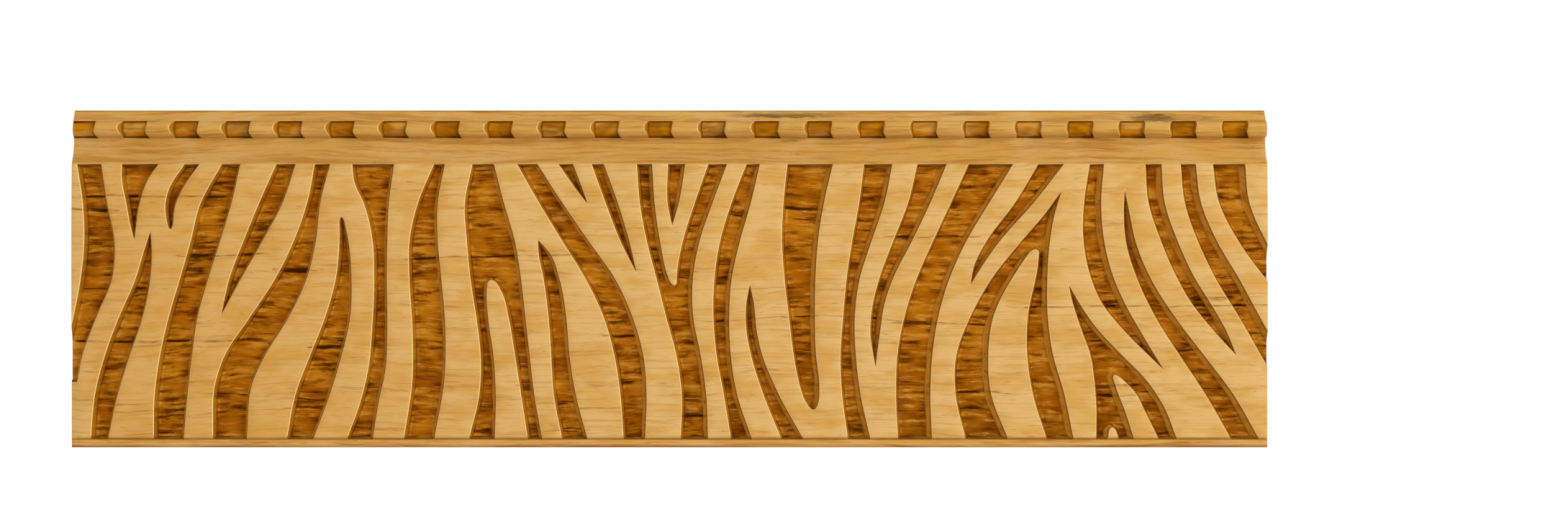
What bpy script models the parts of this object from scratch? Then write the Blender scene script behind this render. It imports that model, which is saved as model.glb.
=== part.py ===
"""Carved wooden moulding: a strip with a notched bead, a cove and a field cut with zebra stripes.

X runs along the strip, Z is up, and the front faces -Y. The origin is the middle of the flat back.
"""

import math
from collections import namedtuple

import bmesh
import bpy
import numpy as np
from mathutils import Matrix

MM = 0.001

# Overall size
LENGTH = 237.3 * MM
HEIGHT = 67.0 * MM
THICKNESS = 8.0 * MM

# Rounded top edge: how far it reaches down, and its set back from the front of the field
TOP_ROUND_HEIGHT = 1.0 * MM
TOP_ROUND_DEPTH = 1.5 * MM
TOP_EDGE_SET_BACK = 5.6 * MM
TOP_STEP_HEIGHT = 0.35 * MM
TOP_STEP_DEPTH = 0.6 * MM

# Notched bead, an ellipse that stands between the top edge and the cove
BEAD_DOWN = 3.8 * MM
BEAD_HALF_HEIGHT = 1.55 * MM
BEAD_REACH = 1.9 * MM
BEAD_NOSE_SET_BACK = 0.7 * MM

# Cove between the bead and the field
COVE_FLOOR_DOWN = 6.0 * MM
COVE_QUIRK_HEIGHT = 0.5 * MM
COVE_SET_BACK = 3.6 * MM
CROWN_HEIGHT = 10.76 * MM

# Field, which falls back a little towards the cove, and the lower margin under it
FIELD_FALL = 0.5 * MM
FIELD_FALL_HEIGHT = 15.0 * MM
MARGIN_HEIGHT = 1.65 * MM
MARGIN_STEP_HEIGHT = 0.45 * MM
MARGIN_SET_BACK = 0.65 * MM
BOTTOM_ROUND = 0.4 * MM

# Narrow margins at the two cut ends, beside the field's lower part
LEFT_MARGIN_WIDTH = 1.05 * MM
LEFT_MARGIN_RISE = 13.5 * MM
RIGHT_MARGIN_WIDTH = 0.65 * MM
RIGHT_MARGIN_RISE = 16.1 * MM
END_MARGIN_SET_BACK = 0.6 * MM

# Carved stripes: depth, and how far each wall leans in plan
STRIPE_DEPTH = 1.7 * MM
LEFT_WALL = 0.55 * MM
RIGHT_WALL = 0.95 * MM
END_WALL = 0.5 * MM
STRIPE_STEP = 3.4 * MM
STRIPE_RIM = 0.1 * MM

# Notches across the bead, set out by eye, so that they drift to and fro off an even pitch
NOTCH_PITCH = 10.42 * MM
NOTCH_DRIFT = 0.6 * MM
NOTCH_DRIFT_LENGTH = 219.0 * MM
NOTCH_START = -0.25 * MM
NOTCH_WIDTH = 4.8 * MM
NOTCH_TOP_DOWN = 2.2 * MM
NOTCH_HEIGHT = 3.4 * MM
NOTCH_DEPTH = 1.2 * MM
NOTCH_WALL = 0.3 * MM
NOTCH_BULGE = 0.8 * MM
NOTCH_PINCH = 0.3 * MM
NOTCH_FLARE = 0.4 * MM
NOTCH_CLEARANCE = 0.15 * MM

# Notch outline: share of the height down, and shares of the bulge, the pinch and the flare there
NOTCH_OUTLINE = (
    (0.0, 0.0, 0.0, 0.0), (0.18, 0.7, 0.1, 0.0), (0.38, 1.0, 0.5, 0.0), (0.64, 0.7, 1.0, 0.0),
    (0.82, 0.4, 0.2, 0.0), (1.0, 0.2, 0.0, 1.0),
)

# Facets of the curved stretches
TOP_ROUND_STEPS = 4
BEAD_STEPS = 10
COVE_STEPS = 6
FALL_STEPS = 4
ARRIS_STEPS = 3
END_STEPS = 4
NOTCH_STEPS = 9
SMOOTH_ANGLE = math.radians(25)
MERGE_DISTANCE = 0.001 * MM

# How far cutters stand out of the wood, and run on past an open end
RISE = 0.8 * MM
OVERRUN = 1.0 * MM
TIP_RUN = 0.3 * MM
TIP_WIDTH = 0.02 * MM

WOOD_COLOUR = (0.62, 0.38, 0.15, 1.0)
WOOD_ROUGHNESS = 0.55

# Stripes as drawn on a strip that reaches DRAWN_REACH each way from its middle, in millimetres.
# A row is a level and the stripe's left and right edges there. Smooth curves run through the rows.
# TOP and FOOT are the drawing's levels for the field's top line and its bottom line.
DRAWN_REACH = 118.65
TOP = 22.74
FOOT = -31.85

STRIPES = {
    "left end": (
        (TOP, -117.6, -112.8), (15, -116.4, -111.6), (7.3, -116.1, -110.1), (0, -116.8, -110.6),
        (-7.9, -118.3, -113.8), (-15, -120.0, -116.4), (-20.5, -121.0, -117.5),
    ),
    "first wedge": (
        (TOP, -108.7, -101.4), (20, -108.7, -103.3), (15, -107.8, -105.1), (10, -106.8, -105.9),
        (7.7, -106.2, -106.2),
    ),
    "finger": ((TOP, -96.2, -93.3), (18, -99.2, -96.5), (15, -100.0, -97.9), (9.8, -99.5, -98.6)),
    "first spike": (
        (9.3, -103.0, -103.0), (5, -104.4, -102.7), (0, -105.9, -103.0), (-7.9, -109.3, -104.6),
        (-15, -111.9, -107.0), (-22.7, -113.9, -109.4), (FOOT, -114.8, -111.4),
    ),
    "leaning band": (
        (TOP, -88.8, -85.2), (15, -93.0, -86.9), (7.3, -95.0, -89.2), (0, -97.1, -91.5),
        (-7.9, -99.4, -93.7), (-15, -101.0, -94.7), (-22.7, -102.1, -95.6), (FOOT, -102.3, -96.4),
    ),
    "second wedge": (
        (TOP, -78.0, -74.2), (15, -81.4, -76.8), (7.7, -84.4, -80.6), (0, -87.3, -85.0), (-7.1, -88.9, -88.9),
    ),
    "bent band": (
        (TOP, -70.4, -67.4), (15, -71.9, -69.3), (7.3, -74.6, -70.2), (0, -78.2, -72.0), (-7.9, -83.4, -75.7),
        (-15, -88.1, -80.1), (-20, -89.9, -82.5), (FOOT, -90.6, -83.9),
    ),
    "second spike": (
        (12.1, -65.5, -64.7), (7.3, -65.5, -63.7), (0, -66.2, -63.1), (-7.9, -68.4, -63.4),
        (-15, -71.2, -65.0), (-22.7, -74.1, -67.3), (FOOT, -75.9, -70.7),
    ),
    "funnel": (
        (TOP, -63.0, -54.7), (19, -62.5, -55.2), (15, -60.7, -55.7), (7.3, -58.9, -56.0), (0, -58.6, -56.1),
        (-10, -59.0, -56.0), (-17.5, -59.7, -56.3), (-25, -61.5, -57.8), (FOOT, -64.0, -58.9),
    ),
    "bowed band": (
        (TOP, -46.7, -44.6), (15, -49.9, -46.0), (7.3, -51.6, -46.0), (0, -51.6, -45.3), (-10, -51.0, -44.5),
        (-20, -51.0, -44.7), (FOOT, -52.7, -46.7),
    ),
    "third spike": (
        (7.6, -26.1, -26.1), (5, -26.0, -23.8), (0, -25.0, -21.9), (-7.9, -24.0, -20.5), (-15, -23.5, -19.9),
        (-22.7, -23.0, -18.7), (FOOT, -21.3, -16.3),
    ),
    "sloping band": (
        (TOP, -30.3, -26.3), (15, -25.9, -21.3), (7.3, -21.2, -16.0), (0, -16.7, -10.9), (-7.9, -13.0, -7.3),
        (-15, -11.0, -5.3), (-22.7, -9.8, -4.6), (FOOT, -9.1, -4.9),
    ),
    "short wedge": ((TOP, -22.1, -19.2), (18, -18.8, -17.4), (14.8, -16.3, -16.3)),
    "long wedge": ((TOP, -15.5, -13.1), (15, -12.7, -10.3), (7.3, -9.7, -8.0), (1.2, -6.6, -6.6)),
    "wedge in the crotch": ((TOP, -0.3, 3.1), (15, -0.4, 1.8), (10.5, 0.5, 0.5)),
    "middle band": (
        (TOP, 15.3, 17.9), (15, 12.3, 16.1), (7.3, 10.0, 13.9), (0, 8.9, 12.3), (-7.9, 8.7, 11.8),
        (-15, 9.3, 12.1), (-22.7, 10.7, 13.3), (FOOT, 12.2, 16.3),
    ),
    "fourth spike": (
        (-1.3, 15.9, 15.9), (-5, 15.2, 16.7), (-10, 15.2, 17.2), (-15, 16.1, 18.3), (-22.7, 18.5, 21.5),
        (FOOT, 22.2, 26.5),
    ),
    "tongue": (
        (TOP, 23.4, 32.4), (15, 22.6, 30.6), (7.3, 22.3, 29.4), (0, 22.8, 28.9), (-7.9, 23.7, 28.8),
        (-15, 24.6, 29.0), (-20, 25.5, 29.6), (-26, 27.3, 29.7),
    ),
    "waisted band": (
        (TOP, 38.6, 44.2), (15, 37.6, 42.6), (7.3, 36.2, 40.0), (0, 35.1, 37.7), (-7.9, 34.4, 36.7),
        (-15, 33.9, 36.9), (-22.7, 34.2, 37.8), (FOOT, 35.4, 39.8),
    ),
    "hooked wedge": (
        (TOP, 49.2, 55.0), (15, 47.3, 51.7), (7.3, 44.3, 48.0), (0, 41.6, 44.3), (-5, 40.3, 42.6),
        (-10, 39.8, 41.8), (-17.5, 40.8, 40.8),
    ),
    "broad band": (
        (TOP, 59.4, 68.2), (15, 55.8, 63.4), (7.3, 52.2, 58.8), (0, 49.0, 55.5), (-7.9, 46.5, 53.2),
        (-15, 45.2, 52.1), (-22.7, 44.9, 51.7), (FOOT, 45.3, 52.0),
    ),
    "slanting wedge": (
        (TOP, 73.2, 78.3), (15, 68.5, 72.2), (7.3, 62.8, 65.4), (2.5, 60.4, 62.0), (-1.2, 59.7, 59.7),
    ),
    "curling wedge": (
        (TOP, 83.4, 86.2), (15, 82.2, 85.6), (7.3, 82.1, 86.2), (0, 83.6, 88.1), (-5, 85.8, 90.3),
        (-10, 89.8, 93.1), (-18, 97.9, 97.9),
    ),
    "long spike": (
        (17.4, 90.3, 90.3), (12.9, 90.1, 91.2), (7.3, 90.5, 92.4), (0, 92.7, 95.4), (-7.9, 96.5, 100.4),
        (-15, 101.0, 105.8), (-22.7, 106.1, 111.6), (FOOT, 111.4, 116.9),
    ),
    "last wedge": (
        (TOP, 94.4, 97.6), (15, 95.0, 98.2), (7.3, 97.5, 100.8), (0, 100.7, 104.2), (-5, 103.6, 107.3),
        (-10, 107.6, 110.2), (-15.2, 112.4, 112.4),
    ),
    "running out": (
        (TOP, 101.4, 104.4), (15, 102.2, 105.4), (7.3, 104.8, 108.6), (0, 108.3, 112.9), (-7.9, 113.1, 117.2),
        (-21, 120.5, 124.5),
    ),
    "right end": (
        (TOP, 107.8, 114.2), (15, 109.0, 115.0), (7.3, 112.9, 118.3), (0, 118.2, 122.5), (-4, 121.5, 125.0),
    ),
}

# Stripes that fork, as their outer edges, and the lands that stand up between their arms
FORKS = {
    "left fork": (
        (TOP, -39.1, -34.9), (15, -40.6, -32.9), (7.3, -40.2, -30.7), (0, -39.5, -29.5), (-7.9, -38.3, -28.6),
        (-15, -37.5, -27.8), (-22.7, -37.7, -26.9), (FOOT, -39.8, -25.3),
    ),
    "middle fork": (
        (TOP, -6.5, 11.4), (15, -5.9, 8.5), (7.3, -4.5, 5.9), (0, -2.6, 4.6), (-7.9, -0.6, 4.7),
        (-15, 1.3, 6.1), (-22.7, 2.4, 7.2), (FOOT, 2.2, 7.6),
    ),
    "great fork": (
        (17.2, 77.7, 77.7), (12.9, 74.5, 76.4), (7.3, 69.7, 75.4), (0, 63.9, 74.9), (-7.9, 59.5, 75.0),
        (-15, 56.9, 76.0), (-22.7, 56.7, 78.2), (FOOT, 58.7, 80.1),
    ),
    "right fork": (
        (-1.4, 79.2, 79.2), (-5, 80.0, 81.3), (-10, 81.6, 84.8), (-15, 83.4, 89.5), (-20, 84.2, 94.4),
        (-25, 84.6, 97.8), (FOOT, 84.6, 100.6),
    ),
}
LANDS = {
    "left fork": (
        (-0.3, -36.1, -34.7), (-2.7, -36.3, -33.3), (-7.9, -36.0, -31.9), (-15, -35.0, -30.7),
        (-22.7, -34.5, -29.5), (FOOT, -34.7, -28.1),
    ),
    "middle fork": ((TOP, -3.5, 7.7), (15, -3.0, 5.0), (7.3, -1.9, 2.6), (0, -0.2, 1.4), (-1.4, 0.4, 1.4)),
    "great fork": (
        (5.8, 71.8, 73.3), (2.5, 69.5, 73.0), (-7.9, 64.1, 71.0), (-15, 63.2, 70.9), (-22.7, 63.7, 72.0),
        (FOOT, 67.1, 74.8),
    ),
    "right fork": ((-19.1, 87.7, 88.9), (-22.7, 88.9, 92.4), (-26, 90.2, 94.1), (FOOT, 92.1, 97.0)),
    "right fork's arch": ((-29.5, 87.2, 88.3), (FOOT, 86.9, 89.1)),
}

# Lengths of rounded ends as drawn, in millimetres
ROUND_TOPS = {"second spike": 0.9}
ROUND_FEET = {"finger": 1.5, "tongue": 3.0}
LAND_ROUND = 0.8


# A groove's rows run from top to foot. Its leans are how far the edges draw in over its depth,
# and a land's are negative, because it widens downwards.
Groove = namedtuple(
    "Groove", "rows depth left_lean right_lean round_top round_foot step surface_at floor_limit"
)


def clear_scene():
    for old in list(bpy.data.objects):
        bpy.data.objects.remove(old, do_unlink=True)


def ellipse(down, set_back, half_height, reach, end, steps):
    """Points (down, set back) on an ellipse, from straight up, turned towards the front."""
    turns = [end * step / steps for step in range(steps + 1)]
    return [(down - half_height * math.cos(turn), set_back - reach * math.sin(turn)) for turn in turns]


def crown_profile():
    """Top edge, bead and cove, as (down from the top, set back from the front of the field)."""
    quarter = math.pi / 2
    points = ellipse(
        TOP_ROUND_HEIGHT, TOP_EDGE_SET_BACK, TOP_ROUND_HEIGHT, TOP_ROUND_DEPTH, quarter, TOP_ROUND_STEPS
    )
    step_set_back = TOP_EDGE_SET_BACK - TOP_ROUND_DEPTH - TOP_STEP_DEPTH
    points.append((TOP_ROUND_HEIGHT + TOP_STEP_HEIGHT, step_set_back))
    bead_foot = BEAD_NOSE_SET_BACK + BEAD_REACH
    points += ellipse(BEAD_DOWN, bead_foot, BEAD_HALF_HEIGHT, BEAD_REACH, 2 * quarter, BEAD_STEPS)
    points.append((COVE_FLOOR_DOWN - COVE_QUIRK_HEIGHT, COVE_SET_BACK - NOTCH_CLEARANCE / 2))
    for step in range(COVE_STEPS + 1):
        along = step / COVE_STEPS
        down = COVE_FLOOR_DOWN + (CROWN_HEIGHT - COVE_FLOOR_DOWN) * along
        points.append((down, COVE_SET_BACK - (COVE_SET_BACK - FIELD_FALL) * along**2))
    return points


def field_profile():
    """The field from the cove's edge down, and the lower margin with its rounded arris."""
    points = []
    for step in range(1, FALL_STEPS + 1):
        along = step / FALL_STEPS
        points.append((CROWN_HEIGHT + FIELD_FALL_HEIGHT * along, FIELD_FALL * (1 - along) ** 2))
    points.append((HEIGHT - MARGIN_HEIGHT - MARGIN_STEP_HEIGHT, 0))
    points.append((HEIGHT - MARGIN_HEIGHT, MARGIN_SET_BACK))
    for step in range(ARRIS_STEPS + 1):
        turn = math.pi / 2 * step / ARRIS_STEPS
        down = HEIGHT - BOTTOM_ROUND * (1 - math.sin(turn))
        points.append((down, MARGIN_SET_BACK + BOTTOM_ROUND * (1 - math.cos(turn))))
    return points


PROFILE = crown_profile() + field_profile()
FIELD_TOP = HEIGHT / 2 - CROWN_HEIGHT
FIELD_FOOT = MARGIN_HEIGHT - HEIGHT / 2


def set_back_at(z):
    """Set back of the uncut front at a height."""
    return float(np.interp(HEIGHT / 2 - z, [down for down, _ in PROFILE], [back for _, back in PROFILE]))


def field_set_back_at(z):
    """Set back of the field at a height, and of its edges past them."""
    foot_line = FIELD_FOOT + MARGIN_STEP_HEIGHT
    return set_back_at(min(max(z, foot_line), FIELD_TOP))


def mesh_object(name, form):
    """Object made of a bmesh's triangles, with its faces pointing out."""
    bmesh.ops.remove_doubles(form, verts=form.verts, dist=MERGE_DISTANCE)
    bmesh.ops.triangulate(form, faces=form.faces)
    bmesh.ops.recalc_face_normals(form, faces=form.faces)
    mesh = bpy.data.meshes.new(name)
    form.to_mesh(mesh)
    form.free()
    made = bpy.data.objects.new(name, mesh)
    bpy.context.scene.collection.objects.link(made)
    return made


def cutter_object(name, form):
    made = mesh_object(name, form)
    made.hide_render = True
    made.display_type = "WIRE"
    return made


def cut(body, cutter):
    modifier = body.modifiers.new(cutter.name, "BOOLEAN")
    modifier.operation = "DIFFERENCE"
    modifier.object = cutter


def add_tube(form, sections):
    """Closed solid through a run of four-cornered sections."""
    rings = [[form.verts.new(corner) for corner in section] for section in sections]
    for first, second in zip(rings, rings[1:]):
        for side in range(4):
            after = (side + 1) % 4
            form.faces.new((first[side], first[after], second[after], second[side]))
    form.faces.new(rings[0])
    form.faces.new(rings[-1])


def placed_rows(rows):
    """Drawn rows as heights and places along the strip: the drawing fills the field."""
    stretch = LENGTH / 2 / DRAWN_REACH
    rise = (FIELD_TOP - STRIPE_RIM - FIELD_FOOT) / (TOP - FOOT)
    return [
        (FIELD_FOOT + (level - FOOT) * rise, left * stretch, right * stretch) for level, left, right in rows
    ]


def slope(rows, index, column):
    """Slope of an edge at a row: that of the parabola through it and its neighbours."""
    if index in (0, len(rows) - 1):
        here, other = rows[index], rows[1 if index == 0 else -2]
        return (other[column] - here[column]) / (other[0] - here[0])
    before, here, after = rows[index - 1 : index + 2]
    above = (here[column] - before[column]) / (here[0] - before[0])
    below = (after[column] - here[column]) / (after[0] - here[0])
    weight = (here[0] - before[0]) / (after[0] - before[0])
    return above * (1 - weight) + below * weight


def edge_at(rows, column, z):
    """An edge's place at a height: a smooth curve through the rows, and straight on past them."""
    if z >= rows[0][0]:
        return rows[0][column] + (z - rows[0][0]) * slope(rows, 0, column)
    if z <= rows[-1][0]:
        return rows[-1][column] + (z - rows[-1][0]) * slope(rows, len(rows) - 1, column)
    index = max(place for place, row in enumerate(rows) if row[0] > z)
    high, low = rows[index], rows[index + 1]
    span = low[0] - high[0]
    t = (z - high[0]) / span
    start = slope(rows, index, column) * span
    end = slope(rows, index + 1, column) * span
    rest = low[column] - high[column]
    return high[column] + t * (start + t * (3 * rest - 2 * start - end + t * (start + end - 2 * rest)))


def edges_at(groove, z):
    """Both edges at a height, drawn together along a rounded end and pointed past a tip."""
    rows = groove.rows
    left, right = edge_at(rows, 1, z), edge_at(rows, 2, z)
    middle, half = (left + right) / 2, (right - left) / 2
    for inside, round_end in ((rows[0][0] - z, groove.round_top), (z - rows[-1][0], groove.round_foot)):
        if round_end and inside < round_end:
            half *= math.sqrt(max(0, 1 - (1 - inside / round_end) ** 2))
    return middle - half, middle + half


def corners(groove, level_at, tip_width=None):
    """Four corners across a groove or a land, whose level may change with the depth."""
    left, right = edges_at(groove, level_at(0))
    if tip_width is not None:
        left, right = (left + right - tip_width) / 2, (left + right + tip_width) / 2
    closing = groove.depth * (right - left) / (groove.left_lean + groove.right_lean)
    surface = groove.surface_at(level_at(0))
    if groove.left_lean > 0:
        high, low = -RISE, min(groove.depth, closing, groove.floor_limit - surface)
    else:
        high, low = max(-RISE, closing), groove.depth + RISE
    placed = []
    for depth in (high, low):
        level = level_at(depth)
        if tip_width is None:
            left, right = edges_at(groove, level)
        lean = depth / groove.depth
        places = (left + groove.left_lean * lean, right - groove.right_lean * lean)
        y = surface + depth - THICKNESS
        placed.append([(place, y, level) for place in places])
    return [placed[0][0], placed[1][0], placed[1][1], placed[0][1]]


def end_sections(groove, level, is_tip, outward):
    """Sections that close an end: past a tip, or one on a leaning end wall, or one where a land runs on."""
    lean = groove.left_lean + groove.right_lean
    if is_tip:
        closing = -RISE / 2 if lean > 0 else groove.depth + RISE / 2
        run = TIP_RUN if lean > 0 else END_WALL * closing / groove.depth
        past = corners(groove, lambda depth: level + outward * run, lean * closing / groove.depth)
        return [past, corners(groove, lambda depth: level, TIP_WIDTH)]
    if lean < 0:
        return [corners(groove, lambda depth: level + outward * OVERRUN)]
    return [corners(groove, lambda depth: level - outward * END_WALL * depth / groove.depth)]


def inner_levels(groove):
    """Heights of the sections between the ends, closer together along a rounded end."""
    top, foot = groove.rows[0][0], groove.rows[-1][0]
    start, end = top - groove.round_top, foot + groove.round_foot
    count = max(2, round((start - end) / groove.step))
    levels = [start + (end - start) * step / count for step in range(1, count)]
    turns = [math.pi / 2 * step / END_STEPS for step in range(1, END_STEPS + 1)]
    if groove.round_top:
        levels = [top - groove.round_top * (1 - math.cos(turn)) for turn in turns] + levels
    if groove.round_foot:
        levels += [foot + groove.round_foot * (1 - math.cos(turn)) for turn in reversed(turns)]
    return levels


def add_groove(form, groove):
    """Adds the solid of a groove, or of a land, to a cutter's form."""
    first, last = groove.rows[0], groove.rows[-1]
    sections = end_sections(groove, first[0], bool(groove.round_top) or first[1] == first[2], 1)
    sections += [corners(groove, lambda depth, level=level: level) for level in inner_levels(groove)]
    foot_is_tip = bool(groove.round_foot) or last[1] == last[2]
    sections += reversed(end_sections(groove, last[0], foot_is_tip, -1))
    add_tube(form, sections)


def stripe(name, rows):
    return Groove(
        placed_rows(rows), STRIPE_DEPTH, LEFT_WALL, RIGHT_WALL, ROUND_TOPS.get(name, 0) * MM,
        ROUND_FEET.get(name, 0) * MM, STRIPE_STEP, field_set_back_at, THICKNESS,
    )


def land(rows):
    """Land between a fork's arms: its left side is the left arm's right wall, and it widens downwards."""
    round_top = 0 if rows[0][0] == TOP else LAND_ROUND * MM
    round_foot = 0 if rows[-1][0] == FOOT else LAND_ROUND * MM
    return Groove(
        placed_rows(rows), STRIPE_DEPTH, -RIGHT_WALL, -LEFT_WALL, round_top, round_foot, STRIPE_STEP,
        field_set_back_at, THICKNESS,
    )


def notch(left):
    """Notch across the bead, swollen to the left near its top and flared to the right at its foot."""
    top = HEIGHT / 2 - NOTCH_TOP_DOWN
    rows = []
    for down, bulge, pinch, flare in NOTCH_OUTLINE:
        right_shift = flare * NOTCH_FLARE - pinch * NOTCH_PINCH
        rows.append((top - down * NOTCH_HEIGHT, left - bulge * NOTCH_BULGE, left + NOTCH_WIDTH + right_shift))
    return Groove(
        rows, NOTCH_DEPTH, NOTCH_WALL, NOTCH_WALL, 0, 0, NOTCH_HEIGHT / NOTCH_STEPS, set_back_at,
        COVE_SET_BACK - NOTCH_CLEARANCE,
    )


def make_stripe_cutter():
    form = bmesh.new()
    for name, rows in STRIPES.items():
        add_groove(form, stripe(name, rows))
    return cutter_object("stripe cutter", form)


def make_fork_cutter():
    """Forked stripes, with the lands between their arms taken out of the cutter."""
    outer, lands = bmesh.new(), bmesh.new()
    for name, rows in FORKS.items():
        add_groove(outer, stripe(name, rows))
    for rows in LANDS.values():
        add_groove(lands, land(rows))
    forks = cutter_object("fork cutter", outer)
    cut(forks, cutter_object("lands", lands))
    return forks


def make_notch_cutter():
    form = bmesh.new()
    for index in range(int((LENGTH - NOTCH_START) / NOTCH_PITCH) + 1):
        along = index * NOTCH_PITCH
        drift = NOTCH_DRIFT * math.sin(2 * math.pi * along / NOTCH_DRIFT_LENGTH)
        add_groove(form, notch(NOTCH_START + along - drift - LENGTH / 2))
    return cutter_object("notch cutter", form)


def add_box(form, low, high):
    """Adds the box between two corners."""
    middle = [(a + b) / 2 for a, b in zip(low, high)]
    scale = Matrix.Diagonal([b - a for a, b in zip(low, high)]).to_4x4()
    bmesh.ops.create_cube(form, size=1, matrix=Matrix.Translation(middle) @ scale)


def make_end_margin_cutter():
    form = bmesh.new()
    bottom, end = -HEIGHT / 2, LENGTH / 2
    front, floor = -THICKNESS - RISE, END_MARGIN_SET_BACK - THICKNESS
    left = (-1, LEFT_MARGIN_WIDTH, LEFT_MARGIN_RISE)
    right = (1, RIGHT_MARGIN_WIDTH, RIGHT_MARGIN_RISE)
    for side, width, rise in (left, right):
        inner, outer = sorted((side * (end - width), side * (end + OVERRUN)))
        add_box(form, (inner, front, bottom - OVERRUN), (outer, floor, bottom + rise))
    return cutter_object("end margin cutter", form)


def make_strip():
    """The uncarved strip: its section, pushed out along the length."""
    form = bmesh.new()
    outline = [(set_back - THICKNESS, HEIGHT / 2 - down) for down, set_back in PROFILE]
    outline += [(0, -HEIGHT / 2), (0, HEIGHT / 2)]
    end = form.faces.new([form.verts.new((-LENGTH / 2, y, z)) for y, z in outline])
    pushed = bmesh.ops.extrude_face_region(form, geom=[end])
    far = [item for item in pushed["geom"] if isinstance(item, bmesh.types.BMVert)]
    bmesh.ops.translate(form, verts=far, vec=(LENGTH, 0, 0))
    strip = mesh_object("moulding", form)
    strip.data.shade_smooth()
    strip.data.set_sharp_from_angle(angle=SMOOTH_ANGLE)
    return strip


def make_wood():
    wood = bpy.data.materials.new("wood")
    wood.use_nodes = True
    shader = wood.node_tree.nodes["Principled BSDF"]
    shader.inputs["Base Color"].default_value = WOOD_COLOUR
    shader.inputs["Roughness"].default_value = WOOD_ROUGHNESS
    shader.inputs["Metallic"].default_value = 0
    wood.diffuse_color = WOOD_COLOUR
    return wood


def main():
    clear_scene()
    moulding = make_strip()
    moulding.data.materials.append(make_wood())
    for make_cutter in (make_end_margin_cutter, make_stripe_cutter, make_fork_cutter, make_notch_cutter):
        cut(moulding, make_cutter())


main()
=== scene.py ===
"""Carved wooden moulding: a strip with a notched bead, a cove and a field cut with zebra stripes."""

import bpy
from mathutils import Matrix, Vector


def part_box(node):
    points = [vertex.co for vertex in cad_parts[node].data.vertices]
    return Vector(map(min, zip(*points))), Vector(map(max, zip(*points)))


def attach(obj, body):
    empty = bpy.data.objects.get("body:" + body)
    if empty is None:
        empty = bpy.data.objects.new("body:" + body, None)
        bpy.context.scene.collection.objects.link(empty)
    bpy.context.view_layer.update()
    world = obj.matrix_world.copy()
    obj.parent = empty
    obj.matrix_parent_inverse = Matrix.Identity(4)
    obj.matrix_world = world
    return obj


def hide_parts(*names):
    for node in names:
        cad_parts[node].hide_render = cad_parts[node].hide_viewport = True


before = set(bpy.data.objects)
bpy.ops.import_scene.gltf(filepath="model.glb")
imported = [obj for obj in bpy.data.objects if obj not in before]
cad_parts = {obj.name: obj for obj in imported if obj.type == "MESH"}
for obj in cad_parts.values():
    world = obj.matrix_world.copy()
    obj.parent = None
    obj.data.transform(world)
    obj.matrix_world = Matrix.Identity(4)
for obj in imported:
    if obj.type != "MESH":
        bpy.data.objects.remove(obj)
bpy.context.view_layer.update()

import math
from collections import namedtuple

import bmesh
import bpy
import numpy as np
from mathutils import Vector
from mathutils.geometry import delaunay_2d_cdt

bl_info = {
    "name": "Carved moulding",
    "version": (1, 0, 0),
    "blender": (4, 5, 0),
    "location": "3D View > Sidebar > Moulding",
    "description": "Makes a wooden moulding with carved zebra stripes, and a plain studio around it",
    "category": "Add Mesh",
}

MM = 0.001

# The strip's box as the solid has it, in millimetres
LOW, HIGH = (np.array(corner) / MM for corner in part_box("moulding"))
HALF_LENGTH = (HIGH[0] - LOW[0]) / 2
HALF_HEIGHT = (HIGH[2] - LOW[2]) / 2
THICKNESS = HIGH[1] - LOW[1]

# Section, in millimetres: heights are down from the top, depths are set back from the field
TOP_ROUND = (1.0, 1.5, 5.6)
TOP_STEP = (1.35, 3.5)
BEAD_DOWN, BEAD_HALF_HEIGHT, BEAD_REACH, BEAD_NOSE = 3.8, 1.55, 1.9, 0.7
QUIRK_DOWN, COVE_DOWN, COVE_SET_BACK, CROWN_HEIGHT = 5.5, 6.0, 3.6, 10.76
FIELD_FALL, FIELD_FALL_HEIGHT = 0.5, 15.0
MARGIN_HEIGHT, MARGIN_STEP, MARGIN_SET_BACK, BOTTOM_ROUND = 1.65, 0.45, 0.65, 0.4

# Narrow margins at the cut ends: width and rise at the left and at the right, and their set back
LEFT_END_MARGIN, RIGHT_END_MARGIN, END_MARGIN_SET_BACK = (1.05, 13.5), (0.65, 16.1), 0.6

# Walls of the stripes and of the notches, in plan
LEFT_WALL, RIGHT_WALL, END_WALL, STRIPE_RIM = 0.55, 0.78, 0.5, 0.1
LEFT_WALL_CHANGE, RIGHT_WALL_CHANGE = 0.2, 0.45
NOTCH_WALL, NOTCH_WIDTH, NOTCH_TOP, NOTCH_HEIGHT = 0.3, 4.8, 2.2, 3.4
NOTCH_PITCH, NOTCH_START, NOTCH_DRIFT, NOTCH_DRIFT_LENGTH = 10.42, -0.25, 0.6, 219.0
NOTCH_BULGE, NOTCH_PINCH, NOTCH_FLARE, NOTCH_CLEARANCE = 0.8, 0.3, 0.4, 0.15
NOTCH_SCOOP, NOTCH_TOP_WALL, NOTCH_CHANGE = 0.7, 0.32, 0.25
NOTCH_OUTLINE = (
    (0.0, 0.0, 0.0, 0.0), (0.08, 0.42, 0.05, 0.0), (0.18, 0.75, 0.1, 0.0), (0.38, 1.0, 0.5, 0.0),
    (0.52, 0.93, 0.8, 0.0), (0.64, 0.72, 1.0, 0.0), (0.82, 0.32, 0.2, 0.0), (1.0, 0.2, 0.0, 1.0),
)

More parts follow.
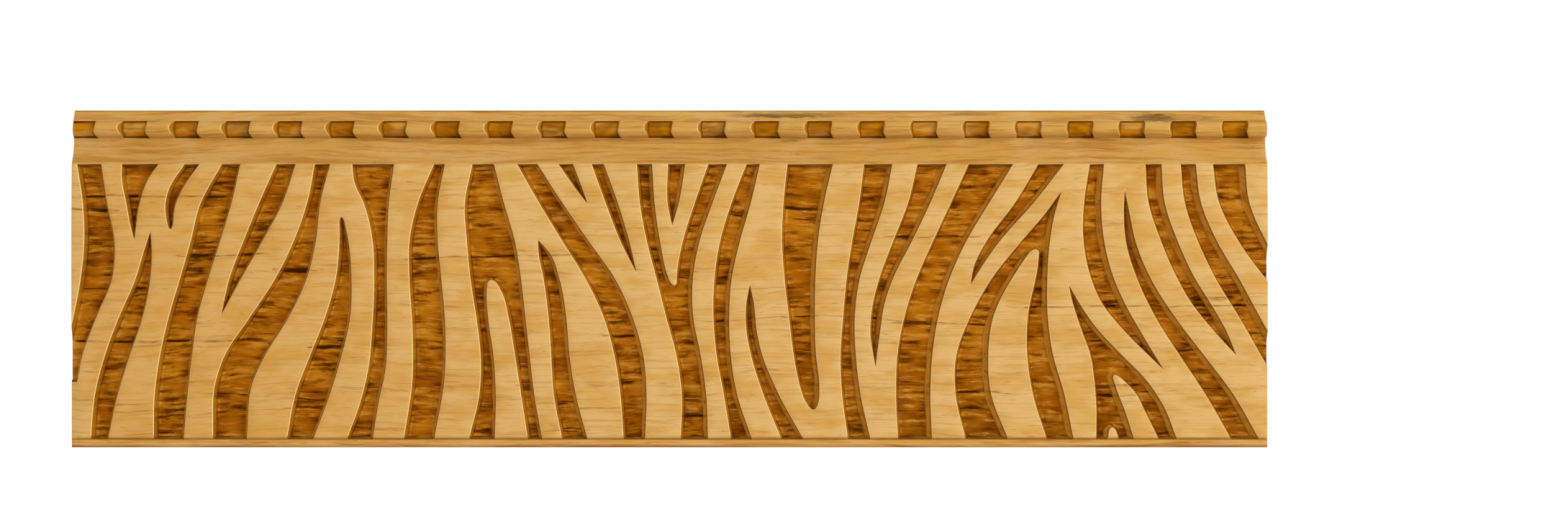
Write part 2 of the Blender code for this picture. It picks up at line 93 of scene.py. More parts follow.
# Stripes as drawn, in millimetres: a level, and the left and the right edge there
TOP = HALF_HEIGHT - CROWN_HEIGHT
FOOT = MARGIN_HEIGHT - HALF_HEIGHT
RIM = TOP - STRIPE_RIM
STRIPES = {
    "left end": (
        (TOP, -117.6, -112.8), (15, -116.4, -111.6), (7.3, -116.1, -110.1), (0, -116.8, -110.6),
        (-7.9, -118.3, -113.8), (-15, -120, -116.4), (-20.5, -121, -117.5),
    ),
    "first wedge": (
        (TOP, -108.7, -101.4), (20, -108.7, -103.3), (15, -107.8, -105.1), (10, -106.8, -105.9),
        (7.7, -106.2, -106.2),
    ),
    "finger": ((TOP, -96.2, -93.3), (18, -99.2, -96.5), (15, -100, -97.9), (9.8, -99.5, -98.6)),
    "first spike": (
        (9.3, -103, -103), (5, -104.4, -102.7), (0, -105.9, -103), (-7.9, -109.3, -104.6),
        (-15, -111.9, -107), (-22.7, -113.9, -109.4), (FOOT, -114.8, -111.4),
    ),
    "leaning band": (
        (TOP, -88.8, -85.2), (15, -93, -86.9), (7.3, -95, -89.2), (0, -97.1, -91.5),
        (-7.9, -99.4, -93.7), (-15, -101, -94.7), (-22.7, -102.1, -95.6), (FOOT, -102.3, -96.4),
    ),
    "second wedge": (
        (TOP, -78, -74.2), (15, -81.4, -76.8), (7.7, -84.4, -80.6), (0, -87.3, -85), (-7.1, -88.9, -88.9),
    ),
    "bent band": (
        (TOP, -70.4, -67.4), (15, -71.9, -69.3), (7.3, -74.6, -70.2), (0, -78.2, -72), (-7.9, -83.4, -75.7),
        (-15, -88.1, -80.1), (-20, -89.9, -82.5), (FOOT, -90.6, -83.9),
    ),
    "second spike": (
        (12.1, -65.5, -64.7), (7.3, -65.5, -63.7), (0, -66.2, -63.1), (-7.9, -68.4, -63.4),
        (-15, -71.2, -65), (-22.7, -74.1, -67.3), (FOOT, -75.9, -70.7),
    ),
    "funnel": (
        (TOP, -63, -54.7), (19, -62.5, -55.2), (15, -60.7, -55.7), (7.3, -58.9, -56), (0, -58.6, -56.1),
        (-10, -59, -56), (-17.5, -59.7, -56.3), (-25, -61.5, -57.8), (FOOT, -64, -58.9),
    ),
    "bowed band": (
        (TOP, -46.7, -44.6), (15, -49.9, -46), (7.3, -51.6, -46), (0, -51.6, -45.3), (-10, -51, -44.5),
        (-20, -51, -44.7), (FOOT, -52.7, -46.7),
    ),
    "third spike": (
        (7.6, -26.1, -26.1), (5, -26, -23.8), (0, -25, -21.9), (-7.9, -24, -20.5), (-15, -23.5, -19.9),
        (-22.7, -23, -18.7), (FOOT, -21.3, -16.3),
    ),
    "sloping band": (
        (TOP, -30.3, -26.3), (15, -25.9, -21.3), (7.3, -21.2, -16), (0, -16.7, -10.9), (-7.9, -13, -7.3),
        (-15, -11, -5.3), (-22.7, -9.8, -4.6), (FOOT, -9.1, -4.9),
    ),
    "short wedge": ((TOP, -22.1, -19.2), (18, -18.8, -17.4), (14.8, -16.3, -16.3)),
    "long wedge": ((TOP, -15.5, -13.1), (15, -12.7, -10.3), (7.3, -9.7, -8), (1.2, -6.6, -6.6)),
    "wedge in the crotch": ((TOP, -0.3, 3.1), (15, -0.4, 1.8), (10.5, 0.5, 0.5)),
    "middle band": (
        (TOP, 15.3, 17.9), (15, 12.3, 16.1), (7.3, 10, 13.9), (0, 8.9, 12.3), (-7.9, 8.7, 11.8),
        (-15, 9.3, 12.1), (-22.7, 10.7, 13.3), (FOOT, 12.2, 16.3),
    ),
    "fourth spike": (
        (-1.3, 15.9, 15.9), (-5, 15.2, 16.7), (-10, 15.2, 17.2), (-15, 16.1, 18.3), (-22.7, 18.5, 21.5),
        (FOOT, 22.2, 26.5),
    ),
    "tongue": (
        (TOP, 23.4, 32.4), (15, 22.6, 30.6), (7.3, 22.3, 29.4), (0, 22.8, 28.9), (-7.9, 23.7, 28.8),
        (-15, 24.6, 29), (-20, 25.5, 29.6), (-26, 27.3, 29.7),
    ),
    "waisted band": (
        (TOP, 38.6, 44.2), (15, 37.6, 42.6), (7.3, 36.2, 40), (0, 35.1, 37.7), (-7.9, 34.4, 36.7),
        (-15, 33.9, 36.9), (-22.7, 34.2, 37.8), (FOOT, 35.4, 39.8),
    ),
    "hooked wedge": (
        (TOP, 49.2, 55), (15, 47.3, 51.7), (7.3, 44.3, 48), (0, 41.6, 44.3), (-5, 40.3, 42.6),
        (-10, 39.8, 41.8), (-17.5, 40.8, 40.8),
    ),
    "broad band": (
        (TOP, 59.4, 68.2), (15, 55.8, 63.4), (7.3, 52.2, 58.8), (0, 49, 55.5), (-7.9, 46.5, 53.2),
        (-15, 45.2, 52.1), (-22.7, 44.9, 51.7), (FOOT, 45.3, 52),
    ),
    "slanting wedge": (
        (TOP, 73.2, 78.3), (15, 68.5, 72.2), (7.3, 62.8, 65.4), (2.5, 60.4, 62), (-1.2, 59.7, 59.7),
    ),
    "curling wedge": (
        (TOP, 83.4, 86.2), (15, 82.2, 85.6), (7.3, 82.1, 86.2), (0, 83.6, 88.1), (-5, 85.8, 90.3),
        (-10, 89.8, 93.1), (-18, 97.9, 97.9),
    ),
    "long spike": (
        (17.4, 90.3, 90.3), (12.9, 90.1, 91.2), (7.3, 90.5, 92.4), (0, 92.7, 95.4), (-7.9, 96.5, 100.4),
        (-15, 101, 105.8), (-22.7, 106.1, 111.6), (FOOT, 111.4, 116.9),
    ),
    "last wedge": (
        (TOP, 94.4, 97.6), (15, 95, 98.2), (7.3, 97.5, 100.8), (0, 100.7, 104.2), (-5, 103.6, 107.3),
        (-10, 107.6, 110.2), (-15.2, 112.4, 112.4),
    ),
    "running out": (
        (TOP, 101.4, 104.4), (15, 102.2, 105.4), (7.3, 104.8, 108.6), (0, 108.3, 112.9), (-7.9, 113.1, 117.2),
        (-21, 120.5, 124.5),
    ),
    "right end": (
        (TOP, 107.8, 114.2), (15, 109, 115), (7.3, 112.9, 118.3), (0, 118.2, 122.5), (-4, 121.5, 125),
    ),
    "left fork": (
        (TOP, -39.1, -34.9), (15, -40.6, -32.9), (7.3, -40.2, -30.7), (0, -39.5, -29.5), (-7.9, -38.3, -28.6),
        (-15, -37.5, -27.8), (-22.7, -37.7, -26.9), (FOOT, -39.8, -25.3),
    ),
    "middle fork": (
        (TOP, -6.5, 11.4), (15, -5.9, 8.5), (7.3, -4.5, 5.9), (0, -2.6, 4.6), (-7.9, -0.6, 4.7),
        (-15, 1.3, 6.1), (-22.7, 2.4, 7.2), (FOOT, 2.2, 7.6),
    ),
    "great fork": (
        (17.2, 77.7, 77.7), (12.9, 74.5, 76.4), (7.3, 69.7, 75.4), (0, 63.9, 74.9), (-7.9, 59.5, 75),
        (-15, 56.9, 76), (-22.7, 56.7, 78.2), (FOOT, 58.7, 80.1),
    ),
    "right fork": (
        (-1.4, 79.2, 79.2), (-5, 80, 81.3), (-10, 81.6, 84.8), (-15, 83.4, 89.5), (-20, 84.2, 94.4),
        (-25, 84.6, 97.8), (FOOT, 84.6, 100.6),
    ),
}

# Lands that stand up between the arms of a forked stripe
LANDS = {
    "left fork": [(
        (-0.3, -36.1, -34.7), (-2.7, -36.3, -33.3), (-7.9, -36, -31.9), (-15, -35, -30.7),
        (-22.7, -34.5, -29.5), (FOOT, -34.7, -28.1),
    )],
    "middle fork": [((TOP, -3.5, 7.7), (15, -3, 5), (7.3, -1.9, 2.6), (0, -0.2, 1.4), (-1.4, 0.4, 1.4))],
    "great fork": [(
        (5.8, 71.8, 73.3), (2.5, 69.5, 73), (-7.9, 64.1, 71), (-15, 63.2, 70.9), (-22.7, 63.7, 72),
        (FOOT, 67.1, 74.8),
    )],
    "right fork": [
        ((-19.1, 87.7, 88.9), (-22.7, 88.9, 92.4), (-26, 90.2, 94.1), (FOOT, 92.1, 97)),
        ((-29.5, 87.2, 88.3), (FOOT, 86.9, 89.1)),
    ],
}
ROUND_TOPS = {"second spike": 0.9}
ROUND_FEET = {"finger": 1.5, "tongue": 3.0}
LAND_ROUND = 0.8

# Spacing of the mesh's points, in millimetres
ROW_STEP = 0.55
FLOOR_STEPS = (0.55, 0.32)
FIELD_STEPS = (1.5, 1.2)
CROWN_STEP = 0.75
NOTCH_STEP = 0.3
END_ARRIS = 0.15
BACK_ARRIS = 0.25
STAIN_REACH = 0.12

# Shares of a wall's width at which rows of points follow a groove's edge, from the lip to the floor
WALL_ROWS = (-0.25, 0.0, 0.25, 0.8, 1.0, 1.3)
LIP_ROUND = 0.25
FLOOR_ROUND = 0.2
# Shares that lattice points keep to: out from a lip on the lands, and in from it on the floors
LAND_CLEAR, FLOOR_CLEAR, NOTCH_CLEAR = -0.9, 1.65, 2

# Numbers of steps round the section's curves and round a land's end
TOP_STEPS, BAND_STEPS, BEAD_STEPS, COVE_STEPS, FALL_STEPS, BOTTOM_STEPS, ARCH_STEPS = 6, 4, 20, 12, 8, 4, 8
# Rows close together near a rounded end, as shares of its length
NEAR_END = 1 - np.cos(np.linspace(0.15, 1.5, 8))

# How near, in millimetres, levels, points of a line, points of the plan and corners count as one
SAME_LEVEL, CLOSEST, MERGED, DOUBLES = 0.001, 0.03, 0.008, 0.002
TIP_OVERRUN, END_STEP, SHARP_ANGLE = 2, 0.8, 55
FAR, UNCUT_SHARE, CARVING_RANGE = 1e9, -9, (-3, 4)

# Tool marks and wear: length along the strip and height up it, in millimetres, and seed of the noise.
# The floors have chatter, torn fibres, a long swell, patches that are torn, and gouges.
NOISE_CELLS = 64
FLOOR_WAVES = (4.5, 0.75, 11), (2.4, 0.5, 12), (9, 3.2, 13), (7, 2.4, 14), (5, 0.8, 15)
FLOOR_SHIFT, CHATTER_DEPTH, FIBRE_DEPTH, SWELL_DEPTH, GOUGE_DEPTH = 7.3, 0.11, 0.06, 0.08, 0.14
NOTCH_WAVES, NOTCH_RELIEF = (1.2, 0.5, 21), 0.04
WEAR_WAVES, WEAR_CHANGE, LEAST_WEAR = (2.5, 2.5, 31), 0.05, 0.07

# Oil and bump of the wood, spread and fade of the named streaks, and where the field's colour changes:
# from the middle to the warm lower left, towards the pale left end, and the painted shade in the cove
OIL_GLOSS, BUMP_STRENGTH, BUMP_HEIGHT = 0.15, 0.9, 0.2 * MM
STREAK_SPREAD, STREAK_FADE = 1.6, (1.5, 1.0)
WARM_CORNER, PALE_END, COVE_SHADE = (-10, -125), (-105, -114), (24.5, 26.6, 28.1, 27.6)

# Studio: the lights' sizes and places, the floor's paint, and the camera
KEY_LIGHT, FILL_LIGHT = (0.6, (0.8, -0.85, 0.42)), (0.8, (-0.9, -0.8, 0.1))
FLOOR_PAINT = (0.82, 0.82, 0.8, 1)
SENSOR_WIDTH, PICTURE_SHIFT, NEAREST_SEEN = 36, (0.0730, 0.01175), 0.01

# A groove: its rows, the plan width of its left, right and end walls, and its end levels.
# A rounded end draws the edges together over the given length. The scoop is how much of a bulge of the
# left edge, out from its straight line, the left wall takes up.
Groove = namedtuple("Groove", "rows left right end top foot round_top round_foot lands scoop")

# What a point of the front tells the wood: share of the wall's width in from the lip, the side that the
# wall is on, and whether it is an end wall, a narrow tip or a notch
Marks = namedtuple("Marks", "carving side end tip notch")
UNCARVED = Marks(-3, 0, 0, 0, 0)

# The grain's own patterns
Wood = namedtuple("Wood", "ragged lines fibres streaks blotches tearing flecks bands named")

# Middle of the growth rings behind and below the strip
RING_CENTRE = (25.0, 160.0)

# Dark streaks along the board: where each starts and ends, its level there, half its height, its strength
STREAKS = (
    (-119, -88, 16.4, 16.2, 0.3, 0.9), (-119, -109, 13.9, 13.5, 0.4, 1), (-118, -69, 10, 10.9, 0.16, 0.5),
    (-98, -79, 4.4, 5, 0.35, 0.9), (-118, -94, -2.2, -1.9, 0.2, 0.6), (-118, -80, -12.7, -12.2, 0.35, 0.9),
    (-106, -40, -9.6, -12.8, 0.16, 0.5), (-95, -68, -22.6, -24, 0.22, 0.7),
    (-90, -20, -25.7, -24.9, 0.15, 0.5),
    (-53, -18, 3.9, 4.7, 0.28, 0.8), (-46, -20, 14.9, 14.3, 0.15, 0.5), (-9, 6, 9.8, 10.4, 0.2, 0.7),
    (-13, 10, 2.6, -1.1, 0.22, 0.7), (8, 50, -1, -1.7, 0.16, 0.5), (42, 62, 8.3, 8.2, 0.35, 0.9),
    (6, 30, -8.6, -7.4, 0.25, 0.8), (30, 63, -7.4, -9.4, 0.28, 0.8), (-10, 40, -11, -15.4, 0.16, 0.5),
    (-6, 30, -16.4, -18, 0.2, 0.5), (70, 119, -5.7, -5.2, 0.3, 0.9), (74, 103, 10.3, 9.5, 0.16, 0.5),
    (93, 119, -22.4, -21.4, 0.25, 0.6), (98, 119, -2.4, -0.8, 0.18, 0.5), (30, 46, -28.8, -27.8, 0.28, 0.6),
    (44, 62, -26.4, -25.8, 0.2, 0.6), (10, 34, 12.4, 11.7, 0.22, 0.6), (-79, -70, 2, 1.6, 0.45, 1),
    (-72, -64, -13.8, -13.4, 0.35, 1), (44, 55, -8.7, -8.9, 0.45, 1), (84, 93, -21.3, -21, 0.4, 1),
    (84, 93, -23, -23.2, 0.35, 1), (56, 66, -22.7, -22.5, 0.4, 0.9), (22, 31, 14, 13.7, 0.35, 0.9),
    (104, 112, -3.9, -3.6, 0.45, 1), (-14, -7, -11.2, -11.6, 0.4, 0.9), (2, 9, -27.3, -27.1, 0.35, 0.9),
)

# Dark streaks beside knots, on the top band and in the cove: middle, half its length and height, strength
KNOT_STREAKS = (
    ((24.0, 32.5), (15.0, 0.8), 0.75), ((96.0, 31.9), (6.5, 1.1), 0.8), ((24.0, 27.35), (2.8, 0.3), 0.9),
    ((103.0, 31.6), (9.0, 0.6), 0.4), ((60.0, 32.7), (8.0, 0.45), 0.35),
)


def smooth_step(value, start, end):
    share = np.clip((value - start) / (end - start), 0, 1)
    return share * share * (3 - 2 * share)


def noise(u, v, seed):
    """Smooth noise from -1 to 1 that varies over about one unit."""
    table = np.random.RandomState(seed).uniform(-1, 1, (NOISE_CELLS, NOISE_CELLS))
    places = np.asarray(u, float), np.asarray(v, float)
    cells = [np.floor(place).astype(int) for place in places]
    across, up = (smooth_step(place - cell, 0, 1) for place, cell in zip(places, cells))
    (near, low), (far, high) = ([(cell + step) % NOISE_CELLS for cell in cells] for step in (0, 1))
    bottom, top = (table[near, row] * (1 - across) + table[far, row] * across for row in (low, high))
    return bottom * (1 - up) + top * up


def ease_up(value, reach):
    """Zero below, the value above, and a curve between them over the reach to either side of zero."""
    curved = (value + reach) ** 2 / (4 * reach)
    return np.where(value <= -reach, 0, np.where(value >= reach, value, curved))


def ellipse(down, set_back, half_height, reach, end, steps):
    turns = np.linspace(0, end, steps + 1)
    return [(down - half_height * math.cos(turn), set_back - reach * math.sin(turn)) for turn in turns]


def straight(start, end, steps):
    shares = np.linspace(0, 1, steps + 1)[1:-1]
    return [tuple(np.array(start) + share * (np.array(end) - np.array(start))) for share in shares]


def section():
    """Rows of the uncut front, as (down from the top, set back), finely enough to look round."""
    height, depth, edge = TOP_ROUND
    points = ellipse(height, edge, height, depth, math.pi / 2, TOP_STEPS)
    points.append(TOP_STEP)
    bead = ellipse(BEAD_DOWN, BEAD_NOSE + BEAD_REACH, BEAD_HALF_HEIGHT, BEAD_REACH, math.pi, BEAD_STEPS)
    points += straight(points[-1], bead[0], BAND_STEPS) + bead
    points.append((QUIRK_DOWN, COVE_SET_BACK - NOTCH_CLEARANCE / 2))
    for along in np.linspace(0, 1, COVE_STEPS + 1):
        down = COVE_DOWN + (CROWN_HEIGHT - COVE_DOWN) * along
        points.append((down, COVE_SET_BACK - (COVE_SET_BACK - FIELD_FALL) * along**2))
    for along in np.linspace(0, 1, FALL_STEPS + 1)[1:]:
        points.append((CROWN_HEIGHT + FIELD_FALL_HEIGHT * along, FIELD_FALL * (1 - along) ** 2))
    bottom = 2 * HALF_HEIGHT
    points.append((bottom - MARGIN_HEIGHT - MARGIN_STEP, 0))
    points.append((bottom - MARGIN_HEIGHT, MARGIN_SET_BACK))
    for turn in np.linspace(0, math.pi / 2, BOTTOM_STEPS + 1):
        down = bottom - BOTTOM_ROUND * (1 - math.sin(turn))
        points.append((down, MARGIN_SET_BACK + BOTTOM_ROUND * (1 - math.cos(turn))))
    return np.array(points)


SECTION = section()
CROWN_LEVELS = HALF_HEIGHT - SECTION[SECTION[:, 0] <= CROWN_HEIGHT + SAME_LEVEL, 0]
MARGIN_LEVELS = HALF_HEIGHT - SECTION[SECTION[:, 0] >= 2 * HALF_HEIGHT - MARGIN_HEIGHT - SAME_LEVEL, 0]
FIELD_FOOT = FOOT + MARGIN_STEP
NOTCH_MIDDLE = HALF_HEIGHT - NOTCH_TOP - NOTCH_HEIGHT / 2
CRISP_LEVELS = (
    HALF_HEIGHT - TOP_STEP[0], HALF_HEIGHT - BEAD_DOWN - BEAD_HALF_HEIGHT,
    HALF_HEIGHT - BEAD_DOWN + BEAD_HALF_HEIGHT, TOP, FIELD_FOOT, FOOT,
)


def set_back(level):
    return np.interp(HALF_HEIGHT - level, SECTION[:, 0], SECTION[:, 1])


def slopes(rows):
    """Slope of both edges at each row: that of the parabola through it and its neighbours."""
    steps = np.diff(rows[:, 0])
    secants = np.diff(rows[:, 1:], axis=0) / steps[:, None]
    if len(rows) == 2:
        return np.vstack([secants, secants])
    weight = (steps[:-1] / (steps[:-1] + steps[1:]))[:, None]
    inner = secants[:-1] * (1 - weight) + secants[1:] * weight
    return np.vstack([secants[:1], inner, secants[-1:]])


def raw_edges(rows, level):
    """Both edges at some levels: smooth curves through the rows, and straight on past them."""
    rows = np.array(rows, float)[::-1]
    slope = slopes(rows)
    index = np.clip(np.searchsorted(rows[:, 0], level) - 1, 0, len(rows) - 2)
    span = (rows[index + 1, 0] - rows[index, 0])[:, None]
    t = np.clip((level - rows[index, 0])[:, None] / span, 0, 1)
    start, end = slope[index] * span, slope[index + 1] * span
    rest = rows[index + 1, 1:] - rows[index, 1:]
    found = rows[index, 1:] + t * (start + t * (3 * rest - 2 * start - end + t * (start + end - 2 * rest)))
    past_top = np.maximum(level - rows[-1, 0], 0)[:, None] * slope[-1]
    past_foot = np.minimum(level - rows[0, 0], 0)[:, None] * slope[0]
    return (found + past_top + past_foot).T


def edges(groove, level):
    """Both edges of a groove, drawn together along its rounded ends."""
    level = np.atleast_1d(np.asarray(level, float))
    left, right = raw_edges(groove.rows, level)
    middle, half = (left + right) / 2, (right - left) / 2
    for inside, length in ((groove.top - level, groove.round_top), (level - groove.foot, groove.round_foot)):
        if length:
            half = half * np.sqrt(1 - (1 - np.clip(inside / length, 0, 1)) ** 2)
    return middle - half, middle + half


def land_share(land, groove, x, z):
    """Distance out from a land, as a share of the wall's width. It is negative on the land."""
    left, right = edges(land, np.clip(z, land.foot, land.top))
    beside = np.maximum((left - x) / groove.right, (x - right) / groove.left)
    past = np.maximum(z - land.top if land.round_top else land.foot - z, 0)
    return np.where(past > 0, np.hypot(np.maximum(beside, 0), past / groove.end), beside)


def left_wall(groove, left):
    """Plan width of the left wall where the left edge has the given place."""
    if not groove.scoop:
        return groove.left
    return groove.left + groove.scoop * (max(row[1] for row in groove.rows) - left)


def is_tip(groove, end):
    return groove.rows[end][1] == groove.rows[end][2]


def side_shares(groove, x, z):
    """Distances in from a groove's left and right lip, as shares of the walls' width."""
    left, right = edges(groove, z)
    return (x - left) / left_wall(groove, left), (right - x) / groove.right


def end_share(groove, z):
    """Distance in from a groove's flat ends, as a share of their walls' width."""
    inside = np.full(len(z), FAR)
    if not is_tip(groove, 0):
        inside = np.minimum(inside, (groove.top - z) / groove.end)
    if not is_tip(groove, -1):
        inside = np.minimum(inside, (z - groove.foot) / groove.end)
    return inside


def outer_share(groove, x, z):
    """Distance in from a groove's lip, as a share of the wall's width. It is negative outside."""
    return np.min([*side_shares(groove, x, z), end_share(groove, z)], axis=0)


def share(groove, x, z):
    """The same, with the groove's lands left standing."""
    lands = [land_share(land, groove, x, z) for land in groove.lands]
    return np.min([outer_share(groove, x, z), *lands], axis=0)


def deepest(grooves, x, z):
    return np.max([share(groove, x, z) for groove in grooves], axis=0)


def make_groove(rows, walls, round_top=0, round_foot=0, lands=(), scoop=0):
    return Groove(rows, *walls, rows[0][0], rows[-1][0], round_top, round_foot, lands, scoop)


def stripes():
    """All the stripes, with their top line lowered to the rim under the cove."""
    made = []
    for name, rows in STRIPES.items():
        along = sum(left + right for _, left, right in rows) / (2 * len(rows) * HALF_LENGTH)
        left_width = LEFT_WALL * (1 - LEFT_WALL_CHANGE * along)
        walls = left_width, RIGHT_WALL * (1 + RIGHT_WALL_CHANGE * along), END_WALL
        lands = []
        for land in LANDS.get(name, ()):
            top_round = 0 if land[0][0] == TOP else LAND_ROUND
            lands.append(make_groove(land, walls, top_round, 0 if land[-1][0] == FOOT else LAND_ROUND))
        groove = make_groove(rows, walls, ROUND_TOPS.get(name, 0), ROUND_FEET.get(name, 0), lands)
        made.append(groove._replace(top=min(groove.top, RIM)))
    return made


def notches():
    top = HALF_HEIGHT - NOTCH_TOP
    made = []
    for index in range(int((2 * HALF_LENGTH - NOTCH_START) / NOTCH_PITCH) + 1):
        along = index * NOTCH_PITCH
        drift = NOTCH_DRIFT * math.sin(2 * math.pi * along / NOTCH_DRIFT_LENGTH)
        fullness = 1 + NOTCH_CHANGE * (1 - along / HALF_LENGTH)
        left = NOTCH_START + along - drift - HALF_LENGTH
        rows = []
        for down, bulge, pinch, flare in NOTCH_OUTLINE:
            right = left + NOTCH_WIDTH + flare * NOTCH_FLARE - pinch * NOTCH_PINCH
            rows.append((top - down * NOTCH_HEIGHT, left - bulge * NOTCH_BULGE * fullness, right))
        walls = NOTCH_WALL, NOTCH_WALL, NOTCH_TOP_WALL
        made.append(make_groove(rows, walls, scoop=NOTCH_SCOOP * fullness))
    return made


def runs(points, values):
    """The stretches of a line of points where the values aren't negative, cut where they cross zero."""
    found, current = [], []
    for index, (point, value) in enumerate(zip(points, values)):
        if index and (value >= 0) != (values[index - 1] >= 0):
            portion = values[index - 1] / (values[index - 1] - value)
            current.append(points[index - 1] + (point - points[index - 1]) * portion)
            if value < 0:
                found.append(current)
                current = []
        if value >= 0:
            current.append(point)
    return [np.array(run) for run in [*found, current] if len(run) > 1]


def level_rows(high, low, step):
    return np.linspace(high, low, max(2, int(round((high - low) / step))) + 1)


def rim_lines(groove, inset, step):
    """Closed lines at a share of the walls' width in from a groove's lip, without its lands."""
    high = groove.top + (TIP_OVERRUN if is_tip(groove, 0) else -inset * groove.end)
    low = groove.foot - (TIP_OVERRUN if is_tip(groove, -1) else -inset * groove.end)
    levels = level_rows(high, low, step)
    for length, end in ((-groove.round_top, groove.top), (groove.round_foot, groove.foot)):
        if length:
            levels = np.append(levels, end + length * NEAR_END)
    levels = np.sort(levels[(levels <= high) & (levels >= low)])[::-1]
    left, right = edges(groove, levels)
    left, right = left + inset * left_wall(groove, left), right - inset * groove.right
    lines = []
    for run in runs(np.column_stack([left, right, levels]), right - left):
        down_left = run[:, [0, 2]]
        lines.append(np.vstack([down_left, run[::-1, [1, 2]], down_left[:1]]))
    return lines


def valley_lines(groove, step):
    """Lines where the two walls meet above the floor, in a groove's narrow parts."""
    levels = level_rows(groove.top, groove.foot, step)
    left, right = edges(groove, levels)
    spans = [(left, right)]
    for land in groove.lands:
        past = (levels > land.top) | (levels < land.foot)
        land_left, land_right = edges(land, np.clip(levels, land.foot, land.top))
        beside = (left, land_left), (land_right, right)
        spans = [(np.where(past, np.nan, start), end) for start, end in beside] + spans
    walls = groove.left + groove.right
    lines = []
    for start, end in spans:
        width = end - start
        narrow = np.where(np.isnan(width), -1, np.minimum(width, walls - width))
        points = np.column_stack([start + width * groove.left / walls, levels])
        lines += runs(np.nan_to_num(points), narrow)
    return lines


def land_line(land, groove, inset, step):
    """Open line round a land at a share of the walls' width out from its lip, or its two sides inside it."""
    end, up, length = (land.top, 1, land.round_top) if land.round_top else (land.foot, -1, land.round_foot)
    levels = np.append(level_rows(land.top, land.foot, step), end - up * length * NEAR_END)
    levels = np.sort(levels)[::-1]
    left, right = edges(land, levels)
    down_left = np.column_stack([left - inset * groove.right, levels])
    down_right = np.column_stack([right + inset * groove.left, levels])
    if inset < 0:
        room = (right - left) + inset * (groove.left + groove.right)
        return runs(down_left[::-up], room[::-up]) + runs(down_right[::up], room[::up])
    turns = np.linspace(0, math.pi, ARCH_STEPS + 1)
    middle = sum(edges(land, end))[0] / 2
    wall = np.where(turns < math.pi / 2, groove.right, groove.left)
    across, along = middle - inset * wall * np.cos(turns), inset * groove.end * np.sin(turns)
    return [np.vstack([down_left[::-up], np.column_stack([across, end + up * along]), down_right[::up]])]


class Plan:
    """Points and lines of the front, seen from the front, that its mesh is made through."""

    def __init__(self):
        self.points, self.links = [], []

    def add_points(self, points):
        self.points += [tuple(point) for point in points]

    def add_line(self, line):
        start = len(self.points)
        kept = [line[0]]
        for point in line[1:]:
            if np.hypot(*(point - kept[-1])) > CLOSEST:
                kept.append(point)
        if len(kept) > 1:
            self.add_points(kept)
            self.links += [(start + index, start + index + 1) for index in range(len(kept) - 1)]

    def add_clipped(self, line, values):
        """A line, cut off at the strip's ends and where the values are negative."""
        for piece in runs(line, values):
            for run in runs(piece, HALF_LENGTH - np.abs(piece[:, 0])):
                self.add_line(run)

    def add_groove(self, groove, step):
        lands = groove.lands
        for inset in WALL_ROWS:
            for line in rim_lines(groove, inset, step):
                beside = [land_share(land, groove, *line.T) - inset for land in lands]
                self.add_clipped(line, np.min([np.ones(len(line)), *beside], axis=0))
            for land in lands:
                for line in land_line(land, groove, inset, step):
                    beside = [land_share(other, groove, *line.T) for other in lands if other is not land]
                    beside.append(outer_share(groove, *line.T))
                    self.add_clipped(line, np.min(beside, axis=0) - inset)
        for line in valley_lines(groove, step):
            self.add_clipped(line, share(groove, *line.T))


def lattice(foot, steps):
    """Points that fill the field's box from a level up, every other row moved along by half a step."""
    columns = np.arange(-HALF_LENGTH + steps[0] / 2, HALF_LENGTH, steps[0])
    levels = np.arange(foot + steps[1] / 2, TOP, steps[1])
    x, z = np.meshgrid(columns, levels)
    x = x + (np.arange(len(levels)) % 2)[:, None] * steps[0] / 2
    inside = x < HALF_LENGTH - steps[0] / 4
    return np.column_stack([x[inside], z[inside]])


def front_plan(stripe_list, notch_list):
    plan = Plan()
    columns = np.linspace(-HALF_LENGTH, HALF_LENGTH, int(2 * HALF_LENGTH / CROWN_STEP) + 1)
    for level in CRISP_LEVELS:
        plan.add_line(np.column_stack([columns, np.full(len(columns), level)]))
    for grooves, step in ((stripe_list, ROW_STEP), (notch_list, NOTCH_STEP)):
        for groove in grooves:
            plan.add_groove(groove, step)
    rows = np.concatenate([CROWN_LEVELS, MARGIN_LEVELS])
    crown = np.column_stack([grid.ravel() for grid in np.meshgrid(columns, rows)])
    near = deepest(notch_list, *crown.T)
    plan.add_points(crown[(near < LAND_CLEAR) | (near > NOTCH_CLEAR)])
    field, floors = lattice(FIELD_FOOT, FIELD_STEPS), lattice(FOOT, FLOOR_STEPS)
    plan.add_points(field[deepest(stripe_list, *field.T) < LAND_CLEAR])
    plan.add_points(floors[deepest(stripe_list, *floors.T) > FLOOR_CLEAR])
    for side in (-1, 1):
        for inset in (0, END_ARRIS):
            for levels in (np.arange(FIELD_FOOT, TOP, END_STEP), rows):
                plan.add_points([(side * (HALF_LENGTH - inset), level) for level in levels])
    return plan


def triangulated(plan):
    """Points and triangles of the front, with its lines kept as edges."""
    corners = [Vector(point) for point in plan.points]
    points, _, faces, *_ = delaunay_2d_cdt(corners, plan.links, [], 0, MERGED)
    return np.array([tuple(point) for point in points]), [tuple(face) for face in faces]


def floor_relief(x, z, which, into):
    """Chatter, torn fibres and smooth patches on the stripes' floors, in millimetres."""
    chatter, fibres, swell, tearing, gouges = (
        noise(x / length + which * FLOOR_SHIFT, z / height, seed) for length, height, seed in FLOOR_WAVES
    )
    torn = (chatter * CHATTER_DEPTH + fibres * FIBRE_DEPTH) * (0.35 + smooth_step(tearing, -0.3, 0.5))
    gouged = smooth_step(gouges, 0.45, 0.8) * GOUGE_DEPTH
    return (swell * SWELL_DEPTH + torn + gouged) * smooth_step(into, 1.0, 1.6)


